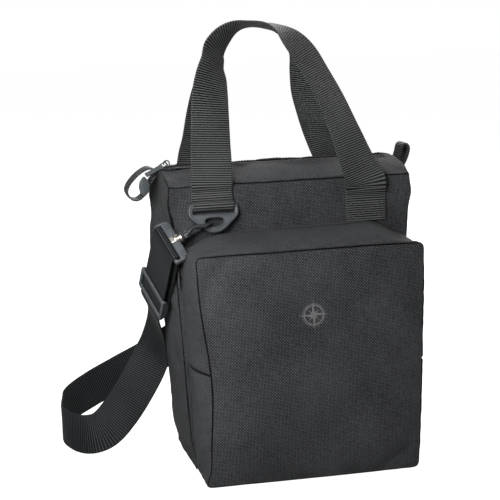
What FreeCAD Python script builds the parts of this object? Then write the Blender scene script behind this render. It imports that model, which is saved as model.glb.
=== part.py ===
# Soft flight bag: padded main compartment, zipped front pocket, two webbing carry handles and a
# clip-on shoulder strap. Millimetres, +Z up, +X to the wearer's right, the pocket on the -Y side.
# The origin is the centre of the main compartment's base, on the floor.
import FreeCAD
import Part
import Sketcher
import math
import os

from FreeCAD import Placement, Rotation, Vector

doc = FreeCAD.newDocument("FlightBag")
sheet = doc.addObject("Spreadsheet::Sheet", "Size")

DRIVING = {
    # main compartment
    "base_width": 212, "top_width": 240, "bag_depth": 104, "seam_height": 280, "ridge_height": 294,
    "panel_gauge": 3, "foam_gauge": 4, "board_gauge": 3, "lining_gauge": 1, "sewing_gap": 0.3,
    "lining_height": 262, "foam_height": 264,
    # top closure
    "zip_width": 13, "tape_gauge": 1, "chain_radius": 0.9, "chain_offset": 1.6, "zip_run": 110,
    # front pocket
    "pocket_base": 206, "pocket_top": 222, "pocket_height": 222, "pocket_depth": 62,
    "pocket_skin": 2.5, "pocket_split": 109, "pocket_corner": 10, "pocket_chain_room": 7,
    # webbing, handles and rings
    "web_width": 40, "web_gauge": 1.8, "handle_pivot": 270, "leg_spread": 78,
    "ring_gauge": 3, "ring_bar_height": 260, "ring_bar_off": 4.9, "ring_tilt": 18,
    "frame_width": 48, "frame_slot": 42.2, "hook_reach": 38, "hook_radius": 6.4, "hook_wire": 2,
    "hinge_gap": 0.06,
}
for row, (alias, value) in enumerate(DRIVING.items(), start=1):
    sheet.set(f"A{row}", alias.replace("_", " "))
    sheet.set(f"B{row}", str(value))
    sheet.setAlias(f"B{row}", alias)
doc.recompute()

nodes = []


def size(text):
    """The value of an expression of sheet cells, such as Size.bag_depth / 2, in millimetres."""
    return float(sheet.evalExpression(text))


def keep(thing, label):
    """Makes a finished object one of the bag's sub-parts."""
    thing.Label = label
    nodes.append(thing)
    return thing


def bind(thing, **properties):
    """Binds properties, written with __ for a dot, to sheet expressions."""
    for name, text in properties.items():
        thing.setExpression(name.replace("__", "."), text)
    return thing


def put(thing, x="0", y="0", z="0", axis=None, angle="0"):
    """Places an object with expressions for its position and its turn about one axis."""
    if axis is not None:
        thing.Placement = Placement(Vector(), Rotation(Vector(*axis), 1))
        thing.setExpression("Placement.Rotation.Angle", angle)
    return bind(thing, Placement__Base__x=x, Placement__Base__y=y, Placement__Base__z=z)


def plane(body, role):
    return next(f for f in body.Origin.OriginFeatures if f.Role == role)


def outline(body, name, role, loops):
    """A sketch of closed straight-sided loops; each corner is a pair of sheet expressions."""
    sketch = body.newObject("Sketcher::SketchObject", name)
    sketch.AttachmentSupport = [(plane(body, role), "")]
    sketch.MapMode = "FlatFace"
    for points in loops:
        first = sketch.GeometryCount
        corners = [Vector(size(u), size(v), 0) for u, v in points]
        count = len(corners)
        for i in range(count):
            sketch.addGeometry(Part.LineSegment(corners[i], corners[(i + 1) % count]), False)
        for i in range(count):
            after = first + (i + 1) % count
            sketch.addConstraint(Sketcher.Constraint("Coincident", first + i, 2, after, 1))
        for i, (u, v) in enumerate(points):
            for kind, text, value in (("DistanceX", u, corners[i].x), ("DistanceY", v, corners[i].y)):
                rule = sketch.addConstraint(Sketcher.Constraint(kind, -1, 1, first + i, 1, value))
                sketch.setExpression(f"Constraints[{rule}]", text)
    return sketch


def pad(body, name, sketch, length, both_ways=False):
    feature = body.newObject("PartDesign::Pad", name)
    feature.Profile = sketch
    feature.setExpression("Length", length)
    if both_ways:
        feature.SideType = "Symmetric"
    sketch.Visibility = False
    return feature


def cut_through(body, name, sketch):
    feature = body.newObject("PartDesign::Pocket", name)
    feature.Profile = sketch
    feature.Type = "ThroughAll"
    feature.SideType = "Symmetric"
    return feature


def slab(label, role, points, thickness, both_ways=False):
    """A sub-part that is one flat outline with a thickness."""
    body = doc.addObject("PartDesign::Body", label)
    pad(body, label + "_pad", outline(body, label + "_outline", role, [points]), thickness, both_ways)
    return keep(body, label)


def box(label, x, y, z):
    """A sub-part that is a box; each side is a (start, length) pair of expressions."""
    thing = bind(doc.addObject("Part::Box", label), Length=x[1], Width=y[1], Height=z[1])
    return keep(put(thing, x[0], y[0], z[0]), label)


def mirrored(points):
    """The corners of the right half, bottom to top, then their mirror image, top to bottom."""
    return points + [(f"-({u})", v) for u, v in reversed(points)]


# ---------------------------------------------------------------- main compartment
LEAN = "atan((Size.top_width - Size.base_width) / 2 / Size.seam_height)"
SKIN = "(Size.panel_gauge + Size.sewing_gap)"


def main_walls():
    front = mirrored([("Size.base_width / 2", "0"), ("Size.top_width / 2", "Size.seam_height")])
    put(slab("main_front_panel", "XZ_Plane", front, "Size.panel_gauge"),
        y="-(Size.bag_depth / 2 - Size.panel_gauge)")
    put(slab("main_back_panel", "XZ_Plane", front, "Size.panel_gauge"), y="Size.bag_depth / 2")
    inner = f"Size.bag_depth / 2 - {SKIN}"
    gable = mirrored([(inner, "0"), (inner, "Size.seam_height - 1"),
                      ("Size.zip_width / 2", "Size.ridge_height - 5")])
    put(slab("main_side_left", "YZ_Plane", gable, "Size.panel_gauge"),
        x="-Size.base_width / 2", z="0.2", axis=(0, -1, 0), angle=LEAN)
    put(slab("main_side_right", "YZ_Plane", gable, "Size.panel_gauge"),
        x="Size.base_width / 2 - Size.panel_gauge", z="0.2", axis=(0, 1, 0), angle=LEAN)
    half_x = f"(Size.base_width / 2 - {SKIN} - 0.2)"
    half_y = f"({inner})"
    box("main_base_panel", (f"-{half_x}", f"2 * {half_x}"), (f"-{half_y}", f"2 * {half_y}"),
        ("0", "Size.panel_gauge"))
    box("base_board", (f"-({half_x} - 6)", f"2 * ({half_x} - 6)"),
        (f"-({half_y} - 6)", f"2 * ({half_y} - 6)"), (SKIN, "Size.board_gauge"))


def wall_padding():
    floor = f"{SKIN} + Size.board_gauge + Size.sewing_gap"
    half_x = f"Size.base_width / 2 - {SKIN} - Size.sewing_gap"
    pad_front = mirrored([(half_x, floor), (half_x, "Size.foam_height")])
    start = f"Size.bag_depth / 2 - {SKIN}"
    put(slab("foam_front", "XZ_Plane", pad_front, "Size.foam_gauge"),
        y=f"-({start} - Size.foam_gauge)")
    put(slab("foam_back", "XZ_Plane", pad_front, "Size.foam_gauge"), y=start)
    inner = f"{start} - Size.foam_gauge - Size.sewing_gap"
    pad_side = mirrored([(inner, floor), (inner, "Size.foam_height")])
    put(slab("foam_left", "YZ_Plane", pad_side, "Size.foam_gauge"),
        x=f"-(Size.base_width / 2 - {SKIN})", axis=(0, -1, 0), angle=LEAN)
    put(slab("foam_right", "YZ_Plane", pad_side, "Size.foam_gauge"),
        x=f"Size.base_width / 2 - {SKIN} - Size.foam_gauge", axis=(0, 1, 0), angle=LEAN)
    lining_bag(floor, f"(Size.base_width / 2 - {SKIN} - Size.foam_gauge - 1)",
               f"({inner} - Size.sewing_gap)")


def lining_bag(floor, half_x, half_y):
    """The thin inner bag, open at the top."""
    body = doc.addObject("PartDesign::Body", "lining")

    def ring(shrink):
        x = f"({half_x} - {shrink})"
        y = f"({half_y} - {shrink})"
        return [(f"-{x}", f"-{y}"), (x, f"-{y}"), (x, y), (f"-{x}", y)]

    pad(body, "lining_block", outline(body, "lining_outer", "XY_Plane", [ring("0")]),
        "Size.lining_height")
    doc.recompute()
    full = body.Shape.Volume
    hollow = body.newObject("PartDesign::Pocket", "lining_hollow")
    inner = outline(body, "lining_inner", "XY_Plane", [ring("Size.lining_gauge")])
    bind(inner, AttachmentOffset__Base__z="Size.lining_height")
    hollow.Profile = inner
    bind(hollow, Length="Size.lining_height - Size.lining_gauge")
    body.Tip = hollow
    doc.recompute()
    if body.Shape.Volume > 0.2 * full:
        raise RuntimeError("the lining isn't hollow")
    put(keep(body, "lining"), z=floor)


# ---------------------------------------------------------------- top closure
def top_closure():
    near = "Size.bag_depth / 2 - 0.5"
    far = "Size.zip_width / 2"
    low, high = "Size.seam_height + 0.3", "Size.ridge_height"
    for label, side in (("top_strip_front", "-"), ("top_strip_rear", "")):
        strip = [(f"{side}({near})", low), (f"{side}({near})", f"{low} + 1.8"),
                 (f"{side}({far})", high), (f"{side}({far})", f"{high} - 1.8")]
        slab(label, "YZ_Plane", strip, "Size.top_width - 10", both_ways=True)
    run = ("-Size.zip_run", "2 * Size.zip_run")
    tape_in, tape_out = "(Size.chain_offset + Size.chain_radius + 0.1)", "(Size.zip_width / 2 - 0.2)"
    level = ("Size.ridge_height - 1.9", "Size.tape_gauge")
    box("top_zip_tape_front", run, (f"-{tape_out}", f"{tape_out} - {tape_in}"), level)
    box("top_zip_tape_rear", run, (tape_in, f"{tape_out} - {tape_in}"), level)
    for label, side in (("top_zip_chain_front", "-"), ("top_zip_chain_rear", "")):
        chain = bind(doc.addObject("Part::Cylinder", label), Radius="Size.chain_radius",
                     Height="2 * Size.zip_run")
        chain.Placement = Placement(Vector(), Rotation(Vector(0, 1, 0), 90))
        keep(chain, label)
        bind(chain, Placement__Base__x="-Size.zip_run", Placement__Base__y=f"{side}Size.chain_offset",
             Placement__Base__z="Size.ridge_height - 1.4")


BRIDGE_SHIFT = -3.4
BRIDGE_RISE = 4.2


def slider_solid(length, width, web_width):
    """A zip slider: two wings joined by a thin web between the chains, and a ring on its nose.
    The chain's centre line runs along X through the slider's origin."""
    nose = BRIDGE_SHIFT - 1
    wing_size = (length, width, 1.2)
    top = Part.makeBox(*wing_size, Vector(nose, -width / 2, 1.5))
    bottom = Part.makeBox(*wing_size, Vector(nose, -width / 2, -2.7))
    web = Part.makeBox(3, web_width, 3.4, Vector(nose, -web_width / 2, -1.7))
    centre = Vector(BRIDGE_SHIFT, -0.8, BRIDGE_RISE)
    loop = Part.makeCylinder(3.5, 1.6, centre, Vector(0, 1, 0))
    hole = Part.makeCylinder(2.3, 1.6, centre, Vector(0, 1, 0))
    above = Part.makeBox(20, 10, 10, Vector(-10, -5, 2.6))
    return top.fuse([bottom, web, loop.cut(hole).common(above)]).removeSplitter()


def feature(label, shape, placement):
    thing = doc.addObject("Part::Feature", label)
    thing.Shape = shape
    thing.Placement = placement
    return keep(thing, label)


def pull_tab(long, wide, gauge):
    """A flat pull along +X from the slider's ring: a bar through the ring, a window, then the tab."""
    plate = Part.makeBox(long + 0.7, wide, gauge, Vector(-0.7, -wide / 2, -gauge / 2))
    corners = [e for e in plate.Edges if abs(e.Length - gauge) < 1e-6]
    window = Part.makeBox(4, wide - 1.9, 4, Vector(0.7, -wide / 2 + 0.95, -2))
    return plate.makeFillet(0.6, corners).cut(window)


def frame_of(origin, along, up):
    """A placement whose local X runs along one direction with local Z as near to up as it can be."""
    x_axis = Vector(*along).normalize()
    y_axis = Vector(*up).cross(x_axis).normalize()
    z_axis = x_axis.cross(y_axis)
    turn = Rotation(x_axis, y_axis, z_axis, "XYZ")
    return Placement(Vector(*origin), turn)


ZIP_LEVEL = size("Size.ridge_height - 1.4")
TOP_SLIDER_X = 1.5 - size("Size.zip_run")
TOP_PULL_DIRECTION = (-0.88, -0.12, -0.42)
TOP_PULL_LENGTH = 24


def top_slider():
    at = Vector(TOP_SLIDER_X, 0, ZIP_LEVEL)
    web = 2 * (size("Size.chain_offset") - size("Size.chain_radius")) - 0.3
    feature("top_slider", slider_solid(10, 8.5, web), Placement(at, Rotation()))
    eye = at + Vector(BRIDGE_SHIFT, 0, BRIDGE_RISE)
    feature("top_pull_tab", pull_tab(TOP_PULL_LENGTH, 6, 1.2),
            frame_of(eye, TOP_PULL_DIRECTION, (-0.3, -0.08, 0.95)))
    end = eye + Vector(*TOP_PULL_DIRECTION).normalize() * (TOP_PULL_LENGTH + 1)
    outline_points = [(-1, 0), (-4.4, -4.5), (-5.5, -10), (-4.2, -16), (0, -20),
                      (4.2, -16), (5.5, -10), (4.4, -4.5), (1, 0)]
    wire = Part.makePolygon([Vector(u, 0, v) for u, v in outline_points + outline_points[:1]])
    grip = Part.Face(wire).extrude(Vector(0, 2.4, 0))
    feature("top_pull_grip", grip, Placement(end + Vector(-1, -1.2, -0.6), Rotation(Vector(0, 0, 1), 8)))


# ---------------------------------------------------------------- webbing
def along(points, share):
    """A smooth curve through points (Catmull-Rom), at a share of their count."""
    spans = len(points) - 1
    i = min(int(share * spans), spans - 1)
    u = share * spans - i
    before, start, end, after = (Vector(*points[max(0, min(spans, i + k))]) for k in (-1, 0, 1, 2))
    return (start * 2 + (end - before) * u + (before * 2 - start * 5 + end * 4 - after) * u ** 2
            + (start * 3 - before - end * 3 + after) * u ** 3) * 0.5


def ribbon(centres, widths, per_span, width, gauge):
    """A flat band lofted along a curve; at each centre its width lies along the width direction."""
    count = (len(centres) - 1) * per_span
    rings = []
    for i in range(count + 1):
        at = along(centres, i / count)
        ahead = along(centres, min(1, (i + 0.3) / count)) - along(centres, max(0, (i - 0.3) / count))
        ahead.normalize()
        across = along(widths, i / count)
        across = (across - ahead * across.dot(ahead)).normalize()
        out = ahead.cross(across)
        ring = [at + across * (a * width / 2) + out * (b * gauge / 2)
                for a, b in ((-1, -1), (1, -1), (1, 1), (-1, 1), (-1, -1))]
        rings.append(Part.makePolygon(ring))
    return Part.makeLoft(rings, True, True)


PIVOT_Z = size("Size.handle_pivot")
PIVOT_Y = size("Size.bag_depth / 2 + Size.web_gauge + 1")
HALF_SPREAD = size("Size.leg_spread")
ANCHOR_X = 74
ANCHOR_DROP = 34
ANCHOR_HEIGHT = 32.4
FRONT_HANDLE = [
    (-HALF_SPREAD, -PIVOT_Y, PIVOT_Z + 1.3), (-HALF_SPREAD, -PIVOT_Y, 275),
    (-HALF_SPREAD, -PIVOT_Y, 280), (-77, -52, 298),
    (-76, -46, 322), (-74, -40, 359), (-71, -35, 380), (-68, -31, 395), (-64, -27, 408),
    (-54, -24, 419), (-39, -22, 427), (-20, -22, 429.5), (-4, -23, 425.5), (10, -26, 415),
    (22, -30, 400), (35, -36, 376), (46, -41, 353), (56, -46, 326), (65, -51, 299),
    (ANCHOR_X, -PIVOT_Y, 280), (ANCHOR_X, -PIVOT_Y, 275), (ANCHOR_X, -PIVOT_Y, PIVOT_Z + 1.3)]
FRONT_TURN = [
    (1, 0, 0), (1, 0, 0), (1, 0, 0), (1, 0.05, 0), (1, 0.19, 0), (0.94, 0.33, 0), (0.85, 0.53, 0),
    (0.68, 0.73, 0), (0.66, 0.74, -0.1), (0.62, 0.77, -0.15), (0.48, 0.86, -0.12), (0.24, 0.96, -0.08),
    (0.3, 0.94, 0.08), (0.6, 0.76, 0.2), (0.77, 0.62, 0.12), (0.82, 0.57, -0.05), (0.83, 0.55, -0.1),
    (0.87, 0.48, -0.1), (0.93, 0.3, -0.1), (1, 0, 0), (1, 0, 0), (1, 0, 0)]
REAR_HANDLE = [
    (HALF_SPREAD, PIVOT_Y, PIVOT_Z + 1.3), (HALF_SPREAD, PIVOT_Y, 275),
    (HALF_SPREAD, PIVOT_Y, 280), (66, 49.5, 297), (54, 45, 315),
    (46, 41, 337), (40, 37, 357), (37, 34, 376), (34, 31, 393), (26, 28, 409), (13, 25, 419.5),
    (-1, 23, 424.5), (-17, 22, 426.5), (-32, 23, 424), (-46, 25, 417), (-54, 28, 405), (-58, 33, 388),
    (-63, 38, 365), (-67, 42, 342), (-70, 46, 317), (-72, 50, 300), (-ANCHOR_X, PIVOT_Y, 280),
    (-ANCHOR_X, PIVOT_Y, 275), (-ANCHOR_X, PIVOT_Y, PIVOT_Z + 1.3)]
REAR_TURN = [
    (1, 0, 0), (1, 0, 0), (1, 0, 0), (0.85, -0.5, 0), (0.62, -0.78, 0), (0.56, -0.83, 0),
    (0.54, -0.84, 0),
    (0.46, -0.89, 0), (0.3, -0.95, 0), (0.05, -1, 0.12), (-0.11, -1, 0.12), (-0.2, -0.98, 0.1),
    (-0.22, -0.97, 0.08), (-0.3, -0.95, 0.1), (-0.36, -0.92, 0.12), (-0.42, -0.9, 0.1),
    (-0.62, -0.78, 0.1), (-0.8, -0.6, 0.05), (-0.87, -0.48, 0), (-0.94, -0.34, 0), (-1, -0.15, 0),
    (-1, 0, 0), (-1, 0, 0), (-1, 0, 0)]


def handles():
    width, gauge = size("Size.web_width"), size("Size.web_gauge")
    feature("front_handle", ribbon(FRONT_HANDLE, FRONT_TURN, 3, width, gauge), Placement())
    feature("rear_handle", ribbon(REAR_HANDLE, REAR_TURN, 3, width, gauge), Placement())
    for name, side in (("front", -1), ("rear", 1)):
        sewn_leg(name + "_handle_anchor", side)
        ring_leg(name + "_ring_leg", side)


def sewn_leg(label, side):
    """The doubled webbing end that is box-stitched to the panel, beside the ring."""
    width, gauge = size("Size.web_width"), 2 * size("Size.web_gauge")
    skin = size("Size.bag_depth / 2 + 0.2")
    x = -ANCHOR_X * side - width / 2
    y = -skin - gauge if side < 0 else skin
    corner = Vector(x, y, PIVOT_Z - ANCHOR_DROP)
    feature(label, Part.makeBox(width, gauge, ANCHOR_HEIGHT, corner), Placement())


def ring_leg(label, side):
    """The webbing end that is folded round the ring's top bar and stitched above it."""
    width = size("Size.web_width")
    bore = 2.9
    round_out = size("Size.ring_bar_off") - 0.2
    centre = Vector(-width / 2, 0, 0)
    block = Part.makeBox(width, 4, PIVOT_Z - 1.6 - size("Size.ring_bar_height"),
                         Vector(-width / 2, round_out - 4, 0))
    roll = Part.makeCylinder(round_out, width, centre, Vector(1, 0, 0))
    hole = Part.makeCylinder(bore, width + 2, centre - Vector(1, 0, 0), Vector(1, 0, 0))
    shape = block.fuse(roll).cut(hole).removeSplitter()
    feature(label, shape, ring_place(side, tilt=0))


def ring_place(side, tilt=None):
    """The top bar of the ring on the front (-1) or rear (1) panel; local +Y faces the panel."""
    tilt = size("Size.ring_tilt") if tilt is None else tilt
    y = size("Size.bag_depth / 2 + Size.ring_bar_off")
    x = HALF_SPREAD * (1 if side > 0 else -1)
    facing = Rotation(Vector(0, 0, 1), 0 if side < 0 else 180)
    return Placement(Vector(x, side * y, size("Size.ring_bar_height")),
                     facing.multiply(Rotation(Vector(1, 0, 0), -tilt)))


OPEN_SHARE = 0.8


def ring(label, side):
    """A flat moulded ring: a slot for the webbing over an eye for the hook."""
    body = doc.addObject("PartDesign::Body", label)
    shell = mirrored([("5.5", "-25"), ("24", "-9"), ("24", "-1"), ("21.5", "2")])
    pad(body, label + "_plate", outline(body, label + "_outline", "XZ_Plane", [shell]),
        "Size.ring_gauge", both_ways=True)
    slot = mirrored([("20.4", "-7.6"), ("20.4", "-1.9")])
    eye = mirrored([("5", "-19.4"), ("8.2", "-17"), ("8.6", "-14"), ("6.5", "-11.2")])
    doc.recompute()
    full = body.Shape.Volume
    body.Tip = cut_through(body, label + "_openings", outline(body, label + "_holes", "XZ_Plane",
                                                            [slot, eye]))
    doc.recompute()
    if body.Shape.Volume > OPEN_SHARE * full:
        raise RuntimeError(label + " has no openings")
    body.Placement = ring_place(side)
    return keep(body, label)


# ---------------------------------------------------------------- hooks and shoulder strap
RIM = Vector(-10, 0, -18.6)
HOOK_AIM = {-1: Vector(0.925, 0.050, 0.375), 1: Vector(0.860, 0.0, 0.510)}
FRAME_ACROSS = {-1: Vector(0.26, -0.70, -0.665), 1: Vector(0.51, 0.0, -0.86)}
HOOK_OPEN = {-1: Vector(-0.06, -0.95, 0.16), 1: Vector(0, 1, 0)}
BAR_DROP = 2.8
FRAME_GAUGE = 3.2
STEM_RADIUS = 2.4
BARREL_RADIUS = 4.6
BARREL_START = 7
BARREL_LENGTH = 6.5
ARM_START = 19
EAR_START = 18
PIN_RADIUS = 0.9
PIN_STATION = 21.6
GATE_START = 20.2
GATE_GAUGE = 3


def rim_point(side):
    """The middle of the ring's lower rim, where the hook hangs."""
    if side < 0:
        return ring_place(side).multVec(RIM)
    return ring_place(side).multVec(Vector(-RIM.x, RIM.y, RIM.z))


def axes_of(side):
    aim = Vector(HOOK_AIM[side]).normalize()
    across = FRAME_ACROSS[side] - aim * FRAME_ACROSS[side].dot(aim)
    across.normalize()
    return across, aim.cross(across), aim


def frame_origin(side):
    return rim_point(side) - axes_of(side)[2] * size("Size.hook_reach")


def frame_place(side):
    """Local X lies across the webbing, local Z points up the hook's stem to the ring."""
    across, out, aim = axes_of(side)
    return Placement(frame_origin(side), Rotation(across, out, aim, "XYZ"))


def hook_place(side):
    aim = axes_of(side)[2]
    open_way = HOOK_OPEN[side] - aim * HOOK_OPEN[side].dot(aim)
    open_way.normalize()
    return Placement(frame_origin(side), Rotation((-open_way).cross(aim), -open_way, aim, "XYZ"))


def web_frame(label, side):
    """The strap's slotted frame with the barrel in which the hook's stem turns."""
    wide, slot = size("Size.frame_width"), size("Size.frame_slot")
    loop = Part.makeBox(wide, FRAME_GAUGE, 11.8, Vector(-wide / 2, -FRAME_GAUGE / 2, -4.3))
    upright = [e for e in loop.Edges if abs(e.Length - FRAME_GAUGE) < 1e-6]
    loop = loop.makeFillet(2, upright)
    loop = loop.cut(Part.makeBox(slot, 6, 5.5, Vector(-slot / 2, -3, -1.3)))
    up = Vector(0, 0, 1)
    barrel = Part.makeCylinder(BARREL_RADIUS, BARREL_LENGTH, Vector(0, 0, BARREL_START), up)
    bore = Part.makeCylinder(STEM_RADIUS + size("Size.hinge_gap"), 20, Vector(0, 0, 4), up)
    feature(label, loop.fuse(barrel).cut(bore).removeSplitter(), frame_place(side))


def hook(side):
    """The hook's stem, shoulder and open crown, and its sprung gate."""
    radius, wire = size("Size.hook_radius"), size("Size.hook_wire")
    crown = size("Size.hook_reach")
    name = "front" if side < 0 else "rear"
    up = Vector(0, 0, 1)
    stem = Part.makeCylinder(STEM_RADIUS, 11.4, Vector(0, 0, 4), up)
    head = Part.makeCylinder(3.4, 1.2, Vector(0, 0, 2.9), up)
    flange = Part.makeCylinder(4.4, 1.6, Vector(0, 0, 13.7), up)
    shoulder = Part.makeBox(5, 2 * (radius + wire), 5, Vector(-2.5, -radius - wire, 15))
    arm = Part.makeCylinder(wire, crown - ARM_START, Vector(0, -radius, ARM_START), up)
    bend = Part.makeTorus(radius, wire, Vector(0, 0, crown), Vector(1, 0, 0), 0, 360)
    upper = Part.makeBox(12, 40, 20, Vector(-6, -20, crown))
    tip = Part.makeCylinder(wire, 2.5, Vector(0, radius, crown - 2.5), up)
    ear = Part.makeBox(8, 5.4, 5, Vector(-4, radius - 2.5, EAR_START))
    fork = Part.makeBox(4.2, 7, 8, Vector(-2.1, radius - 3, 19.4))
    pin = Part.makeCylinder(PIN_RADIUS, 8, Vector(-4, radius, PIN_STATION), Vector(1, 0, 0))
    shape = stem.fuse([head, flange, shoulder, arm, bend.common(upper), tip, ear.cut(fork), pin])
    feature(name + "_hook", shape.removeSplitter(), hook_place(side))
    leaf_length = crown - 2.9 - GATE_START
    leaf = Part.makeBox(3.8, GATE_GAUGE, leaf_length, Vector(-1.9, radius - GATE_GAUGE / 2, GATE_START))
    hole = PIN_RADIUS + size("Size.hinge_gap")
    pin_hole = Part.makeCylinder(hole, 8, Vector(-4, radius, PIN_STATION), Vector(1, 0, 0))
    feature(name + "_hook_gate", leaf.cut(pin_hole), hook_place(side))


GLIDE_STATION = 73.0
RETURN_RUN = 82.0
STRAIGHT_RUN = 96.0
GLIDE_DIRECTION = Vector(-0.05, 0.67, -0.741)
GLIDE_LENGTH = 28
GLIDE_BAR = 5
RAIL_GAUGE = 8
RAIL_BASE = -6.9
PLY_OFFSET = 3.6
STRAP_RUN = [(-124.5, 30, 133), (-125, 44, 108), (-131, 47, 88), (-146, 42, 64), (-164, 34, 42),
             (-182, 29, 26), (-199, 32, 21), (-214, 46, 22), (-221, 68, 26), (-213, 90, 36),
             (-186, 98, 51), (-155, 99, 65), (-115, 92, 86), (-65, 83, 120), (-20, 74, 160)]
STRAP_TURN = [(0.26, -0.70, -0.66), (0.42, -0.60, -0.66), (0.62, -0.42, -0.62), (0.78, -0.28, -0.55),
              (0.8, -0.25, -0.55), (0.72, -0.28, -0.63), (0.5, -0.38, -0.78), (0.2, -0.25, -0.94),
              (0.02, -0.05, -1), (-0.1, 0.1, -1), (-0.05, 0.12, -1), (0.15, 0.1, -1),
              (0.3, 0.05, -0.95), (0.48, 0, -0.88), (0.5, 0, -0.86)]


def glide_axes():
    down = Vector(GLIDE_DIRECTION).normalize()
    across = axes_of(-1)[0]
    across = (across - down * across.dot(down)).normalize()
    return across, down, down.cross(across)


def shoulder_strap():
    """One length of webbing: from its sewn end on the glide's bar, round the front frame's bar,
    back through the glide, down to the floor, and up to the rear frame."""
    across, down, out = glide_axes()
    bar = frame_origin(-1) - axes_of(-1)[2] * BAR_DROP
    centres, widths = [], []

    def add(point, turn):
        centres.append(tuple(point))
        widths.append(tuple(turn))

    for share in (1.0, 0.75, 0.5, 0.25, 0.06):
        add(bar + down * RETURN_RUN * share - out * PLY_OFFSET, across)
    for angle in (45, 90, 135):
        swing = math.radians(angle)
        add(bar - out * (PLY_OFFSET * math.cos(swing)) - down * (PLY_OFFSET * math.sin(swing)), across)
    for share in (0.06, 0.25, 0.5, 0.75, 0.9, 1.0):
        add(bar + down * STRAIGHT_RUN * share + out * PLY_OFFSET, across)
    for point, turn in zip(STRAP_RUN, STRAP_TURN):
        add(point, turn)
    across, out, aim = axes_of(1)
    bar = frame_origin(1) - aim * BAR_DROP
    for back in (24, 8):
        add(bar - aim * back + out * PLY_OFFSET, across)
    for angle in (0, 45, 90, 135, 180):
        swing = math.radians(angle)
        add(bar + out * (PLY_OFFSET * math.cos(swing)) + aim * (PLY_OFFSET * math.sin(swing)), across)
    for back in (8, 20):
        add(bar - aim * back - out * PLY_OFFSET, across)
    shape = ribbon(centres, widths, 3, size("Size.web_width"), size("Size.web_gauge"))
    feature("shoulder_strap", shape, Placement())


def strap_glide():
    """A three-bar slider with its centre bar set back, so that the strap runs through it flat."""
    across, down, out = glide_axes()
    centre = frame_origin(-1) - axes_of(-1)[2] * BAR_DROP + down * GLIDE_STATION
    wide, slot = size("Size.frame_width"), size("Size.frame_slot")
    end = GLIDE_LENGTH / 2
    rails = [Part.makeBox((wide - slot) / 2, GLIDE_LENGTH, RAIL_GAUGE, Vector(x, -end, RAIL_BASE))
             for x in (-wide / 2, slot / 2)]
    bars = [Part.makeBox(slot, GLIDE_BAR, 1.8, Vector(-slot / 2, y, RAIL_BASE))
            for y in (-end, end - GLIDE_BAR)]
    middle = Part.makeBox(slot, GLIDE_BAR, 2.2, Vector(-slot / 2, -GLIDE_BAR / 2, -1.1))
    shape = rails[0].fuse([rails[1], bars[0], bars[1], middle]).removeSplitter()
    feature("strap_glide", shape, Placement(centre, Rotation(across, down, across.cross(down), "XYZ")))


# ---------------------------------------------------------------- pocket
def pocket_half(height):
    """Half the pocket's width at a height, as an expression."""
    return (f"(Size.pocket_base / 2 + (Size.pocket_top - Size.pocket_base) / 2 * ({height})"
            " / Size.pocket_height)")


def pocket_edge(inset, low=None, high=None):
    """The right half of the pocket's front outline between two heights, bottom to top."""
    cut = f"(Size.pocket_corner - {inset} / 2)"
    points = []
    if low is None:
        points += [(f"{pocket_half('0')} - {inset} - {cut}", inset),
                   (f"{pocket_half('0')} - {inset}", f"{inset} + {cut}")]
    else:
        points += [(f"{pocket_half(low)} - {inset}", low)]
    if high is None:
        half, top = f"{pocket_half('Size.pocket_height')} - {inset}", f"Size.pocket_height - {inset}"
        points += [(half, f"{top} - {cut}"), (f"{half} - {cut}", top)]
    else:
        points += [(f"{pocket_half(high)} - {inset}", high)]
    return points


def arch(label, inset, gauge, start, length, low=None, high=None):
    """A band that follows the pocket's outline, open at the bottom (low) or at the top (high)."""
    outer = pocket_edge(inset, low, high)
    inner = pocket_edge(f"({inset} + {gauge})", low, high)
    if low is not None:
        right = outer + [(f"-({u})", v) for u, v in reversed(outer)]
        left = inner + [(f"-({u})", v) for u, v in reversed(inner)]
        points = right + list(reversed(left))
    else:
        right = list(reversed(outer)) + [(f"-({u})", v) for u, v in outer]
        left = list(reversed(inner)) + [(f"-({u})", v) for u, v in inner]
        points = right + list(reversed(left))
    return put(slab(label, "XZ_Plane", points, length), y=start)


def pocket():
    front = "Size.bag_depth / 2 + Size.pocket_depth"
    put(slab("pocket_front_panel", "XZ_Plane", mirrored(pocket_edge("0")), "Size.pocket_skin"),
        y=f"-({front} - Size.pocket_skin)")
    wall = "(Size.bag_depth / 2 + 0.3)"
    depth = f"({front} - Size.pocket_skin - 0.3 - {wall})"
    arch("pocket_gusset_lower", "0.01", "Size.pocket_skin", f"-{wall}", depth,
         high="Size.pocket_split - 0.2")
    arch("pocket_gusset_upper", "0.01", "Size.pocket_skin", f"-({wall} + Size.pocket_chain_room)",
         f"{depth} - Size.pocket_chain_room", low="Size.pocket_split + 0.2")
    low = "Size.pocket_split + 0.2"
    for label, start in (("pocket_zip_tape_front", "4.9"), ("pocket_zip_tape_rear", "0.1")):
        arch(label, "0.6", "Size.tape_gauge", f"-({wall} + {start})", "1.9", low=low)
    for label, start in (("pocket_zip_chain_front", "3.9"), ("pocket_zip_chain_rear", "2.1")):
        arch(label, "0.3", "1.5", f"-({wall} + {start})", "0.9", low=low)


POCKET_SLOPE = size("(Size.pocket_top - Size.pocket_base) / 2 / Size.pocket_height")
POCKET_LEAN = math.degrees(math.atan(POCKET_SLOPE))


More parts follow.
